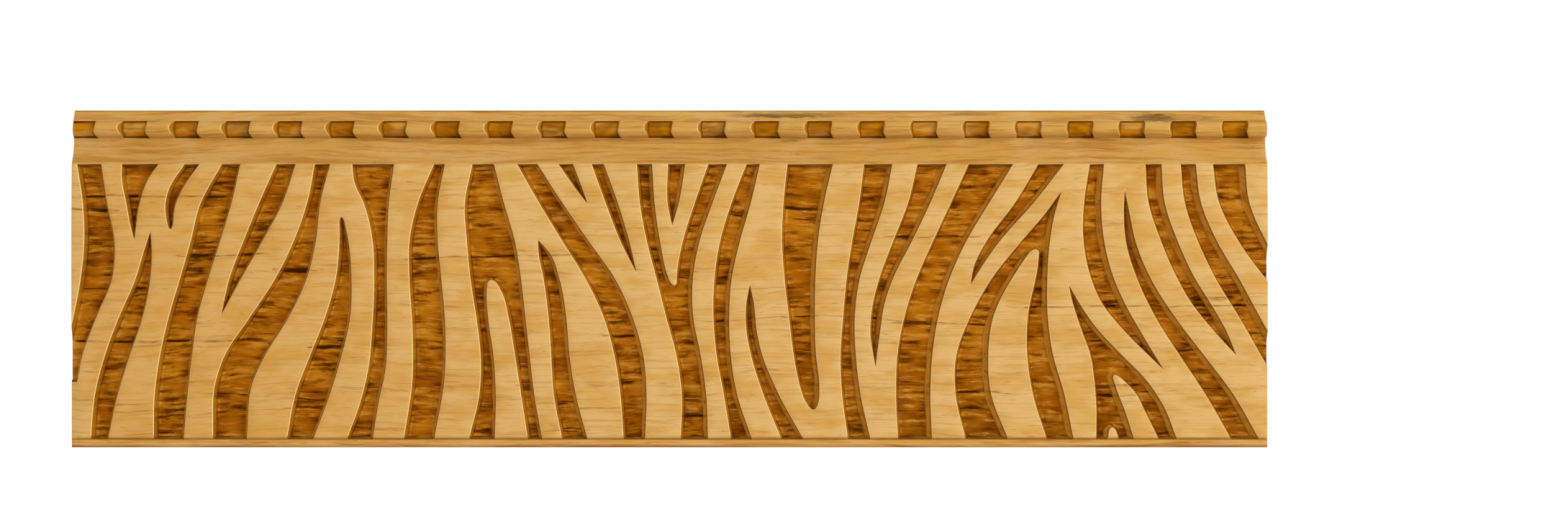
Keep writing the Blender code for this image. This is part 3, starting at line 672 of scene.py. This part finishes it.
def walls_at(groove, x, z):
    """Share of the nearest wall, the side that it is on, how much it is an end wall, and how much a tip."""
    left, right = edges(groove, z)
    from_left, from_right = side_shares(groove, x, z)
    nearest = np.minimum(from_left, from_right)
    side = np.where(from_left < from_right, -1.0, 1.0)
    for land in groove.lands:
        near = land_share(land, groove, x, z)
        middle = sum(edges(land, np.clip(z, land.foot, land.top))) / 2
        side = np.where(near < nearest, np.where(x < middle, 1.0, -1.0), side)
        nearest = np.minimum(nearest, near)
    to_end = end_share(groove, z)
    end = smooth_step(nearest - to_end, -0.1, 0.1) * (to_end < 1.1)
    width = (right - left) / (groove.left + groove.right)
    return np.minimum(nearest, to_end), side, end, smooth_step(width, 1.9, 0.5)


def cut_marks(grooves, x, z):
    """Share, groove, side, end and tip marks of the groove that cuts deepest at each point."""
    marks = np.zeros((5, len(x)))
    marks[0] = UNCUT_SHARE
    for index, groove in enumerate(grooves):
        share_here, *others = walls_at(groove, x, z)
        found = np.array([share_here, np.full(len(x), index), *others])
        marks = np.where(share_here > marks[0], found, marks)
    return marks


def eased(near):
    """Share of the full depth at a share of the wall's width, with a rounded lip and foot."""
    return 1 - ease_up(1 - ease_up(near, LIP_ROUND), FLOOR_ROUND)


def front_depths(points, sizes, stripe_list, notch_list):
    """Set back of each point of the front from the field, and the marks that its colours follow."""
    x, z = points.T
    depth = set_back(z)
    near, which, side, end, tip = cut_marks(stripe_list, x, z)
    notch_near, _, notch_side, notch_end, _ = cut_marks(notch_list, x, z)
    cut = set_back(np.clip(z, FIELD_FOOT, TOP)) + eased(near) * sizes.stripe_depth / MM
    cut = cut + floor_relief(x, z, which, near) * sizes.floor_relief
    notch_cut = depth + eased(notch_near) * sizes.notch_depth / MM
    length, height, seed = NOTCH_WAVES
    rough = noise(x / length, z / height, seed) * NOTCH_RELIEF
    notch_cut = notch_cut + rough * smooth_step(notch_near, 0.6, 1.5)
    notch_cut = np.minimum(notch_cut, COVE_SET_BACK - NOTCH_CLEARANCE)
    for into, bottom in ((near, cut), (notch_near, notch_cut)):
        depth = np.where(into > -LIP_ROUND, np.maximum(depth, bottom), depth)
    for face, (width, rise) in ((-1, LEFT_END_MARGIN), (1, RIGHT_END_MARGIN)):
        in_margin = (face * x > HALF_LENGTH - width) & (z < rise - HALF_HEIGHT)
        depth = np.where(in_margin, np.maximum(depth, END_MARGIN_SET_BACK), depth)
    length, height, seed = WEAR_WAVES
    wear = np.maximum(0, noise(x / length, z / height, seed)) * WEAR_CHANGE + LEAST_WEAR
    depth = depth + np.clip(1 - (HALF_LENGTH - np.abs(x)) / END_ARRIS, 0, 1) * wear
    notched = notch_near > near
    carving, side, end = np.where(notched, (notch_near, notch_side, notch_end), (near, side, end))
    return depth, Marks(np.clip(carving, *CARVING_RANGE), side, end, np.where(notched, 0, tip), notched)


def store(mesh, name, values):
    attribute = mesh.attributes.new(name, "FLOAT", "POINT")
    attribute.data.foreach_set("value", np.asarray(values, np.float32))


def carry_back(form, place, inset):
    """Extrudes the border to the given set back, drawn in by the inset, on wood that isn't stained."""
    border = [edge for edge in form.edges if edge.is_boundary]
    pushed = bmesh.ops.extrude_edge_only(form, edges=border)["geom"]
    for vert in (item for item in pushed if isinstance(item, bmesh.types.BMVert)):
        vert.co.y = place(vert.co.y)
        for axis, half in ((0, HALF_LENGTH), (2, HALF_HEIGHT)):
            limit = (half - inset) * MM
            vert.co[axis] = max(-limit, min(limit, vert.co[axis]))
        for name, value in UNCARVED._asdict().items():
            vert[form.verts.layers.float[name]] = value


def close_behind(form):
    """Carries the front's border back, eases the back edges and closes the flat back."""
    carry_back(form, lambda y: y + STAIN_REACH * MM, 0)
    carry_back(form, lambda y: -BACK_ARRIS * MM, 0)
    carry_back(form, lambda y: 0, BACK_ARRIS)
    bmesh.ops.remove_doubles(form, verts=form.verts, dist=DOUBLES * MM)
    border = [edge for edge in form.edges if edge.is_boundary]
    bmesh.ops.holes_fill(form, edges=border, sides=0)
    bmesh.ops.triangulate(form, faces=[face for face in form.faces if len(face.verts) > 4])
    bmesh.ops.recalc_face_normals(form, faces=form.faces)


def add_object(name, data):
    made = bpy.data.objects.new(name, data)
    bpy.context.scene.collection.objects.link(made)
    return made


def make_moulding(sizes, material):
    stripe_list, notch_list = stripes(), notches()
    points, faces = triangulated(front_plan(stripe_list, notch_list))
    depth, marks = front_depths(points, sizes, stripe_list, notch_list)
    places = np.column_stack([points[:, 0], depth - THICKNESS, points[:, 1]]) * MM
    mesh = bpy.data.meshes.new("carved_moulding")
    mesh.from_pydata(places.tolist(), [], faces)
    for name, values in marks._asdict().items():
        store(mesh, name, values)
    form = bmesh.new()
    form.from_mesh(mesh)
    close_behind(form)
    form.to_mesh(mesh)
    form.free()
    mesh.materials.append(material)
    mesh.shade_smooth()
    mesh.set_sharp_from_angle(angle=math.radians(SHARP_ANGLE))
    return add_object("carved_moulding", mesh)


def reckoned(operation, wire_last=False):
    """A wire's operator, which adds a Math node."""
    def method(wire, other):
        return wire.math(operation, *((other, wire) if wire_last else (wire, other)))
    return method


class Wire:
    """A node's output, with arithmetic that adds Math nodes."""

    def __init__(self, recipe, socket):
        self.recipe, self.socket = recipe, socket

    def math(self, operation, *values):
        return self.recipe.add("ShaderNodeMath", {"operation": operation}, dict(enumerate(values)))

    __add__, __radd__ = reckoned("ADD"), reckoned("ADD", True)
    __sub__, __rsub__ = reckoned("SUBTRACT"), reckoned("SUBTRACT", True)
    __mul__, __rmul__ = reckoned("MULTIPLY"), reckoned("MULTIPLY", True)
    __truediv__, __rtruediv__ = reckoned("DIVIDE"), reckoned("DIVIDE", True)
    __pow__, larger = reckoned("POWER"), reckoned("MAXIMUM")

    def __abs__(self):
        return self.math("ABSOLUTE", self)

    def span(self, low, high, to_low=0.0, to_high=1.0):
        """The value's way from low to high, eased, and held at both ends."""
        settings = {"interpolation_type": "SMOOTHSTEP", "clamp": True}
        sockets = {"Value": self, "From Min": low, "From Max": high, "To Min": to_low, "To Max": to_high}
        return self.recipe.add("ShaderNodeMapRange", settings, sockets)

    def vector_span(self, low, high):
        """For each part of a vector, its way from low to high, eased, and held at both ends."""
        settings = {"data_type": "FLOAT_VECTOR", "interpolation_type": "SMOOTHSTEP", "clamp": True}
        sockets = {6: self, 7: low, 8: high, 9: (0, 0, 0), 10: (1, 1, 1)}
        return self.recipe.add("ShaderNodeMapRange", settings, sockets, output=1)

    def parts(self):
        """The three numbers of a vector."""
        split = self.recipe.add("ShaderNodeSeparateXYZ", None, {0: self}).socket.node
        return [Wire(self.recipe, socket) for socket in split.outputs]


class Recipe:
    """The nodes of a material or of the surroundings."""

    def __init__(self, owner, colours=None):
        owner.use_nodes = True
        self.tree, self.colours = owner.node_tree, colours

    def fill(self, node, sockets):
        for name, value in sockets.items():
            if isinstance(value, Wire):
                self.tree.links.new(value.socket, node.inputs[name])
            else:
                node.inputs[name].default_value = value

    def add(self, kind, settings=None, sockets=None, output=0):
        node = self.tree.nodes.new(kind)
        for name, value in (settings or {}).items():
            setattr(node, name, value)
        self.fill(node, sockets or {})
        return Wire(self, node.outputs[output])

    def coats(self, shade, *layers):
        """Colours laid over a shade one after another, each as strongly as its mask says.
        A colour is a wire, or the name of one that the user sets."""
        for mask, colour in layers:
            sockets = {0: mask, 6: shade, 7: colour}
            for name in (6, 7):
                if isinstance(sockets[name], str):
                    sockets[name] = getattr(self.colours, sockets[name])
            shade = self.add("ShaderNodeMix", {"data_type": "RGBA", "clamp_factor": True}, sockets, output=2)
        return shade

    def vector_math(self, operation, *values):
        return self.add("ShaderNodeVectorMath", {"operation": operation}, dict(enumerate(values)))

    def vector(self, x, y, z):
        return self.add("ShaderNodeCombineXYZ", None, {0: x, 1: y, 2: z})

    def grain(self, x, y, z, detail=3.0, roughness=0.55):
        """Noise at the given places, which are already divided by the size of its spots."""
        sockets = {"Vector": self.vector(x, y, z), "Scale": 1.0, "Detail": detail, "Roughness": roughness}
        return self.add("ShaderNodeTexNoise", {"noise_dimensions": "3D"}, sockets)

    def attribute(self, name):
        return self.add("ShaderNodeAttribute", {"attribute_name": name}, None, output=2)


def streak_mask(recipe, x, level):
    """One at the middle of the board's named streaks, less beside it, three streaks at a time."""
    place, height = recipe.vector(x, x, x), recipe.vector(level, level, level)
    found = None
    for first in range(0, len(STREAKS), 3):
        rows = np.array(STREAKS[first:first + 3], float).T
        start, end, start_level, end_level, half_height, strength = rows
        rise = (end_level - start_level) / (end - start)
        line = recipe.vector_math("MULTIPLY_ADD", place, rise, start_level - rise * start)
        away = recipe.vector_math("ABSOLUTE", recipe.vector_math("SUBTRACT", line, height))
        line = away.vector_span(half_height * STREAK_SPREAD, (0, 0, 0))
        away = recipe.vector_math("ABSOLUTE", recipe.vector_math("SUBTRACT", place, (start + end) / 2))
        half = (end - start) / 2
        window = away.vector_span(half + STREAK_FADE[0], half - STREAK_FADE[1])
        line = recipe.vector_math("MULTIPLY", recipe.vector_math("MULTIPLY", line, window), strength)
        found = line if found is None else recipe.vector_math("MAXIMUM", found, line)
    first, second, third = found.parts()
    return first.larger(second).larger(third)


def knot_mask(x, z, centre, size, wobble):
    """One at a dark streak's middle, and zero outside it."""
    across = (x - centre[0]) / size[0]
    up = (z - centre[1]) / size[1] + wobble
    return ((across * across + up * up) ** 0.5).span(1.0, 0.35)


def land_colour(recipe, x, z, wood):
    """The oiled surface that isn't carved: the field, the bead, the cove and the margins."""
    lines, fibres, blotches, flecks = wood.lines, wood.fibres, wood.blotches, wood.flecks
    field = recipe.coats(
        "field",
        (blotches.span(0.6, 0.4), "field_light"),
        ((x + z * 0.8).span(*WARM_CORNER) * 0.45, "field_warm"),
        (blotches.span(0.5, 0.7) * 0.32, "field_warm"),
        ((x + blotches * 12).span(*PALE_END) * 0.75, "field_light"),
    )
    # Painted shade in the upper cove under the bead, broken up by the grain lines
    painted_cove_shade = z.span(*COVE_SHADE[:2]) * z.span(*COVE_SHADE[2:]) * lines.span(0.35, 0.65, 0.0, 0.4)
    crown = recipe.coats(
        "crown",
        (lines.span(0.44, 0.64) * 0.6, "crown_grain_and_shade"),
        (blotches.span(0.5, 0.34) * 0.4, "field_light"),
        (painted_cove_shade, "crown_grain_and_shade"),
    )
    off_field = z.span(TOP - 0.1, TOP + 0.15).larger(z.span(FIELD_FOOT, FIELD_FOOT - 0.3))
    faint = flecks.span(0.3, 0.6, 0.1, 0.7)
    patchy = lines.span(0.35, 0.6, 0.3, 0.9)
    # Dark line at the foot of the margin's step, which faces down: painted shade. Below it the margin is
    # darker in patches towards the bottom edge.
    foot = (z.span(FOOT - 0.9, FOOT - 1.5) * patchy).larger(abs(z - FOOT).span(0.3, 0.05) * 0.6)
    broken, wobble = lines.span(0.3, 0.6, 0.45, 1.0), (wood.ragged - 0.5) * 1.6
    knots = [
        (knot_mask(x, z, centre, size, wobble) * broken * strength, "knot")
        for centre, size, strength in KNOT_STREAKS
    ]
    return recipe.coats(
        field,
        (off_field * 0.85, crown),
        (lines.span(0.5, 0.7) * 0.42, "grain"),
        (fibres.span(0.5, 0.8) * 0.3, "grain"),
        (fibres.span(0.5, 0.2) * 0.32, "field_light"),
        (flecks.span(0.73, 0.8) * wood.tearing.span(0.6, 1.0) * 0.45, "fleck"),
        ((wood.named + (wood.ragged - 0.5) * 0.8).span(0.5, 0.85) * faint, "fleck"),
        (wood.bands * faint * z.span(-8, -28, 0.45, 0.75), "fleck"),
        (z.span(HALF_HEIGHT - 0.55, HALF_HEIGHT - 0.1) * patchy, "crown_grain_and_shade"),
        (foot, "fleck"),
        *knots,
    )


def floor_colour(recipe, x, z, wood):
    """The bottom of the grooves: torn dark fibres with smooth golden patches and painted highlights between
    them.
    """
    low = (z + wood.blotches * 16).span(0, -26) * x.span(-40, 60, 0.1, 0.42)
    band = (wood.named + (wood.ragged - 0.5) * 0.7).span(0.15, 0.75)
    torn = wood.streaks + band * 0.2 + wood.bands * 0.12
    contrast = wood.tearing.larger(band)
    return recipe.coats(
        "floor_light",
        (wood.blotches.span(0.38, 0.6), "floor"),
        (wood.blotches.span(0.58, 0.75) * 0.6, "floor_dark_and_shade"),
        (low, "floor_dark_and_shade"),
        # Painted highlights on the smooth ridges between the torn fibres
        (torn.span(0.47, 0.34) * 0.7, "floor_painted_highlight"),
        (torn.span(0.48, 0.6) * contrast * 0.9, "floor_dark_and_shade"),
        (torn.span(0.6, 0.72) * contrast, "crack_and_shadow"),
        (wood.fibres.span(0.5, 0.75) * 0.3, "floor_dark_and_shade"),
    )


def wall_colour(recipe, wood, marks, on_right):
    """Golden left walls, painted shade near the right walls' lip, and dark end walls of stain and painted
    shade.
    """
    # Right walls: painted shade towards the lip, as they face away from the key light
    right = recipe.coats(
        "wall_shade",
        (marks.carving.span(-0.05, 0.5), "right_wall"),
        (wood.blotches.span(0.55, 0.4) * 0.5, "wall"),
    )
    return recipe.coats(
        "wall",
        (wood.blotches.span(0.4, 0.62) * 0.6, "wall_shade"),
        (on_right, right),
        (wood.streaks.span(0.5, 0.66) * 0.4, "floor_dark_and_shade"),
        (wood.named.span(0.4, 0.9) * 0.35, "crack_and_shadow"),
        # Dark end walls: partly stain and partly painted shade
        (marks.end * 0.95, "end_wall_stain_and_shade"),
    )


def notch_colour(recipe, z, wood, marks, on_right):
    """Golden floor, a left wall darkening to painted shade at its foot, and a painted shadow at the lower
    right.
    """
    inward = marks.carving
    # Left wall darkening towards its foot: painted shade
    crescent = recipe.coats("wall", (inward.span(0.2, 0.95) * 0.8, "floor_dark_and_shade"))
    # Painted shadow of the right wall, dark on the floor at the lower right
    flare = inward.span(2.6, 0.6) * on_right * z.span(NOTCH_MIDDLE, NOTCH_MIDDLE - 1.3)
    return recipe.coats(
        "notch_pale",
        (wood.blotches.span(0.4, 0.56), "notch_floor"),
        (wood.streaks.span(0.46, 0.64) * 0.42, "floor_dark_and_shade"),
        (wood.tearing.span(0.6, 1.0) * 0.34, "floor_dark_and_shade"),
        (inward.span(1.05, 0.85) * (1 - on_right), crescent),
        (inward.span(1.2, 0.7) * on_right * 0.7, "wall"),
        # Painted shade along the right wall's lip
        (inward.span(0.4, 0.1) * on_right * 0.8, "floor_dark_and_shade"),
        (flare * 0.85, "crack_and_shadow"),
        # Dark end walls: partly stain and partly painted shade
        (marks.end * 0.85, "end_wall_stain_and_shade"),
    )


def cut_colour(recipe, x, z, wood, marks):
    """Walls and floors of the stripes and of the notches."""
    on_right = marks.side.span(-0.3, 0.3)
    foot = marks.carving + (wood.ragged - 0.5) * 0.15
    # Painted highlight on the floor beside the walls' feet, stronger beside the left walls
    sheen = foot.span(1.1, 1.4) * foot.span(2.4, 1.5) * wood.streaks.span(0.55, 0.42)
    sheen = sheen * wood.blotches.span(0.55, 0.45) * (0.75 - on_right * 0.3)
    floor = recipe.coats(floor_colour(recipe, x, z, wood), (sheen, "floor_painted_highlight"))
    # Painted shade in the crease at the walls' feet, mostly beside the left walls
    nook_shade = foot.span(0.7, 0.97) * foot.span(1.5, 1.05) * wood.blotches.span(0.35, 0.6)
    # Painted highlight along the foot of the right walls
    foot_highlight = foot.span(0.7, 0.92) * foot.span(1.2, 0.98) * on_right
    return recipe.coats(
        wall_colour(recipe, wood, marks, on_right),
        (foot.span(0.86, 1.1), floor),
        (nook_shade * (0.55 - on_right * 0.5), "floor_dark_and_shade"),
        (foot_highlight * wood.blotches.span(0.65, 0.4, 0.3, 0.9), "floor_painted_highlight"),
        # Painted shade in the grooves' narrow tips
        (marks.tip * 0.4, "floor_dark_and_shade"),
        (marks.notch, notch_colour(recipe, z, wood, marks, on_right)),
    )


def wood_patterns(recipe, x, y, z):
    """Object coordinates in millimetres go in, and each is divided by the pattern's size along it."""
    sway = recipe.grain(x / 60, y / 25, z / 14, 0.0) - 0.5
    ripple = recipe.grain(x / 8, y / 4, z / 3.0, 1.0) - 0.5
    behind, below = y - RING_CENTRE[0], z + RING_CENTRE[1]
    ring = (below * below + behind * behind) ** 0.5 + sway * 5 + ripple * 0.9
    ragged = recipe.grain(x / 2.0, z / 0.45, 3.0, 2.0, 0.62)
    return Wood(
        ragged=ragged,
        lines=recipe.grain(x / 20, ring / 0.6, y / 9, 3.0, 0.6),
        fibres=recipe.grain(x / 2.8, ring / 0.2, y / 2, 1.0, 0.6),
        streaks=recipe.grain(x / 6.5, (ring + (ragged - 0.5) * 0.7) / 0.95 + 11, y / 3, 3.0, 0.62),
        blotches=recipe.grain(x / 11, y / 8, z / 4.5, 2.0, 0.6),
        tearing=recipe.grain(x / 6, z / 4.0, 31.0, 1.0).span(0.38, 0.6, 0.2, 1.0),
        flecks=recipe.grain(x / 2.2, ring / 0.18 + 40, y / 3, 0.0),
        bands=recipe.grain(x / 26, ring / 0.7 + 90, y / 20, 2.0).span(0.6, 0.72),
        named=streak_mask(recipe, x, z + ripple * 1.1),
    )


def make_wood(colours):
    """Oiled golden wood, stained brown where it is carved, with painted shade and painted highlights on the
    carving.
    """
    made = bpy.data.materials.new("oiled_wood")
    recipe = Recipe(made, colours)
    x, y, z = (part * 1000 for part in recipe.add("ShaderNodeTexCoord", output=3).parts())
    wood = wood_patterns(recipe, x, y, z)
    marks = Marks(*(recipe.attribute(name) for name in Marks._fields))
    inward = marks.carving
    # Painted highlight along the lips, strongest on the left walls' lips, which face the key light
    lip = inward.span(-0.3, -0.14) * inward.span(0.06, -0.04) * z.span(FIELD_FOOT + 0.1, FIELD_FOOT + 0.5)
    lip = lip * marks.side.span(0.3, -0.3, 0.3, 1.0) * (1 - marks.end) * (1 - marks.tip * 0.6)
    # Painted shade: a dark line just inside the lip, strongest on the right walls, which face away from the
    # key light
    edge = inward.span(-0.1, 0.0) * inward.span(0.22, 0.06) * marks.side.span(-0.3, 0.3, 0.3, 0.75)
    stained = recipe.coats(
        land_colour(recipe, x, z, wood),
        (inward.span(-0.03, 0.12), cut_colour(recipe, x, z, wood, marks)),
        (lip * (1 - marks.notch * 0.5), "lip"),
        (edge, "floor_dark_and_shade"),
    )
    in_floor = inward.span(0.8, 1.2)
    surface = wood.fibres * 0.3 - in_floor * wood.tearing * wood.streaks * 4.0
    bump = {"Strength": BUMP_STRENGTH, "Distance": BUMP_HEIGHT, "Height": surface}
    recipe.fill(recipe.tree.nodes["Principled BSDF"], {
        "Base Color": stained,
        "Roughness": 0.4 + wood.lines * 0.16 + in_floor * 0.06,
        "Normal": recipe.add("ShaderNodeBump", None, bump),
        "Specular IOR Level": OIL_GLOSS,
        "Specular Tint": colours.sheen,
    })
    return made


def colour(name, red, green, blue, description):
    """A colour property whose default is given as the photograph's red, green and blue."""
    linear = [((part / 255 + 0.055) / 1.055) ** 2.4 for part in (red, green, blue)]
    return bpy.props.FloatVectorProperty(
        name=name, description=description, subtype="COLOR", size=4, min=0, max=1, default=(*linear, 1)
    )


def number(name, default, description, unit="LENGTH"):
    return bpy.props.FloatProperty(name=name, description=description, default=default, unit=unit)


class MouldingSizes(bpy.types.PropertyGroup):
    stripe_depth: number("Stripe depth", 1.7 * MM, "Depth of the carved stripes")
    notch_depth: number("Notch depth", 1.2 * MM, "Depth of the notches across the bead")
    floor_relief: number("Floor relief", 1.0, "Strength of the tool marks on the stripes' floors", "NONE")


class WoodColours(bpy.types.PropertyGroup):
    field: colour("Field", 218, 168, 92, "Oiled wood of the field")
    field_light: colour("Light field", 225, 181, 113, "Paler growth of the field")
    field_warm: colour("Warm field", 208, 148, 62, "Golden patches of the field")
    grain: colour("Grain", 190, 128, 50, "Thin grain lines")
    fleck: colour("Flecks", 146, 78, 22, "Short reddish flecks and long streaks")
    crown: colour("Crown", 212, 160, 78, "Bead, cove, top band and lower margin")
    # Crown grain also paints the shade in the upper cove under the bead
    crown_grain_and_shade: colour("Crown grain", 174, 112, 34, "Grain of the bead and the cove")
    knot: colour("Knot streaks", 84, 56, 28, "Dark streaks beside knots")
    floor: colour("Floor", 170, 94, 2, "Stained floor of a stripe")
    floor_light: colour("Light floor", 192, 118, 18, "Smoother patches of a floor")
    # Pale floor is painted highlight: on ridges between torn fibres and along the walls' feet
    floor_painted_highlight: colour("Pale floor", 212, 148, 54, "Painted highlights on a floor's ridges and beside its walls")
    # Dark floor is torn fibres and also painted shade at the walls' feet, lips and narrow tips
    floor_dark_and_shade: colour("Dark floor", 106, 50, 0, "Torn fibres of a floor")
    # Cracks also paint a notch's shadow at its lower right
    crack_and_shadow: colour("Cracks", 56, 22, 0, "Cracks, bands and nooks")
    wall: colour("Wall", 186, 118, 16, "Walls of a stripe")
    # Wall shade is darker patches of the left walls and painted shade near the right walls' lip
    wall_shade: colour("Wall shade", 158, 96, 14, "Upper part of the right walls")
    right_wall: colour("Right wall", 208, 140, 44, "Lower part of the right walls")
    # End walls are partly dark stain and partly painted shade
    end_wall_stain_and_shade: colour("End wall", 74, 32, 0, "Walls at the flat ends of a stripe")
    notch_floor: colour("Notch floor", 194, 121, 10, "Floor of a notch")
    notch_pale: colour("Pale notch", 208, 148, 60, "Paler places on the floor of a notch")
    # Lip is a painted highlight along the lips, strongest on those that face the key light
    lip: colour("Lip", 252, 222, 158, "Painted highlight along a stripe's lip")
    sheen: colour("Sheen", 255, 185, 70, "Tint of the oil's reflections")


class StudioSettings(bpy.types.PropertyGroup):
    floor_drop: number("Floor drop", 0.25, "How far the floor lies under the moulding")
    floor_size: number("Floor size", 2.4, "Side of the square floor")
    camera_distance: number("Camera distance", 0.8, "From the camera to the field")
    view_width: number("View width", 0.31097, "Width of the picture at the field")
    key_power: number("Key light", 6.3, "Power of the light from the upper right", "POWER")
    fill_power: number("Fill light", 1.2, "Power of the light from the left", "POWER")
    sky: number("Surroundings", 0.66, "Brightness of the white surroundings as a light", "NONE")
    sky_gloss: number("Reflected surroundings", 0.15, "Brightness of the surroundings in reflections", "NONE")


class MOULDING_OT_carve(bpy.types.Operator):
    """Makes the carved moulding in place of its solid"""

    bl_idname = "moulding.carve"
    bl_label = "Carve the moulding"

    def execute(self, context):
        scene = context.scene
        made = make_moulding(scene.moulding_sizes, make_wood(scene.moulding_colours))
        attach(made, "root")
        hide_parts("moulding")
        return {"FINISHED"}


class MOULDING_OT_studio(bpy.types.Operator):
    """Makes the floor, the lights, the white surroundings and the camera"""

    bl_idname = "moulding.studio"
    bl_label = "Set up the studio"

    def execute(self, context):
        settings = context.scene.moulding_studio
        make_floor(settings)
        make_surroundings(settings)
        add_light("key_light", settings.key_power, *KEY_LIGHT)
        add_light("fill_light", settings.fill_power, *FILL_LIGHT)
        make_camera(settings)
        return {"FINISHED"}


class MOULDING_PT_panel(bpy.types.Panel):
    bl_label = "Moulding"
    bl_space_type = "VIEW_3D"
    bl_region_type = "UI"
    bl_category = "Moulding"

    def draw(self, context):
        for group in (getattr(context.scene, name) for name in GROUPS):
            for name in group.__annotations__:
                self.layout.prop(group, name)
        self.layout.operator(MOULDING_OT_carve.bl_idname)
        self.layout.operator(MOULDING_OT_studio.bl_idname)


def make_floor(settings):
    form = bmesh.new()
    bmesh.ops.create_grid(form, x_segments=1, y_segments=1, size=settings.floor_size / 2)
    bmesh.ops.translate(form, verts=form.verts, vec=(0, 0, -settings.floor_drop))
    mesh = bpy.data.meshes.new("studio_floor")
    form.to_mesh(mesh)
    form.free()
    paint = bpy.data.materials.new("pale_floor")
    recipe = Recipe(paint)
    recipe.fill(recipe.tree.nodes["Principled BSDF"], {"Base Color": FLOOR_PAINT, "Roughness": 0.8})
    mesh.materials.append(paint)
    add_object("studio_floor", mesh)


def make_surroundings(settings):
    """White for the camera, dimmer as a light, and dimmest in reflections, to keep the oil's depth."""
    world = bpy.data.worlds.new("white_studio")
    bpy.context.scene.world = world
    recipe = Recipe(world)
    glossy, seen = (
        recipe.add("ShaderNodeLightPath", output=name) for name in ("Is Glossy Ray", "Is Camera Ray")
    )
    light = {"Value": glossy, "To Min": settings.sky, "To Max": settings.sky_gloss}
    strength = {"Value": seen, "To Min": recipe.add("ShaderNodeMapRange", None, light), "To Max": 1.0}
    strength = recipe.add("ShaderNodeMapRange", None, strength)
    recipe.fill(recipe.tree.nodes["Background"], {"Color": (1, 1, 1, 1), "Strength": strength})


def add_light(name, power, size, place):
    lamp = bpy.data.lights.new(name, "AREA")
    lamp.energy, lamp.size = power, size
    light = add_object(name, lamp)
    light.location = place
    light.rotation_euler = (-Vector(place)).to_track_quat("-Z", "Y").to_euler()


def make_camera(settings):
    """Level camera in front of the strip's middle, with the picture moved as the photograph is framed."""
    lens = bpy.data.cameras.new("camera")
    lens.sensor_width = SENSOR_WIDTH
    lens.lens = SENSOR_WIDTH * settings.camera_distance / settings.view_width
    lens.shift_x, lens.shift_y = PICTURE_SHIFT
    lens.clip_start = NEAREST_SEEN
    camera = add_object("camera", lens)
    camera.location = (0, -settings.camera_distance - THICKNESS * MM, 0)
    camera.rotation_euler = (math.pi / 2, 0, 0)
    bpy.context.scene.camera = camera
    bpy.context.scene.view_settings.view_transform = "Standard"


GROUPS = {
    "moulding_sizes": MouldingSizes, "moulding_colours": WoodColours, "moulding_studio": StudioSettings,
}
CLASSES = (*GROUPS.values(), MOULDING_OT_carve, MOULDING_OT_studio, MOULDING_PT_panel)


def register():
    for made in CLASSES:
        bpy.utils.register_class(made)
    for name, group in GROUPS.items():
        setattr(bpy.types.Scene, name, bpy.props.PointerProperty(type=group))


def unregister():
    for name in GROUPS:
        delattr(bpy.types.Scene, name)
    for made in reversed(CLASSES):
        bpy.utils.unregister_class(made)


def main():
    register()
    bpy.ops.moulding.carve()
    bpy.ops.moulding.studio()


if __name__ == "__main__":
    main()
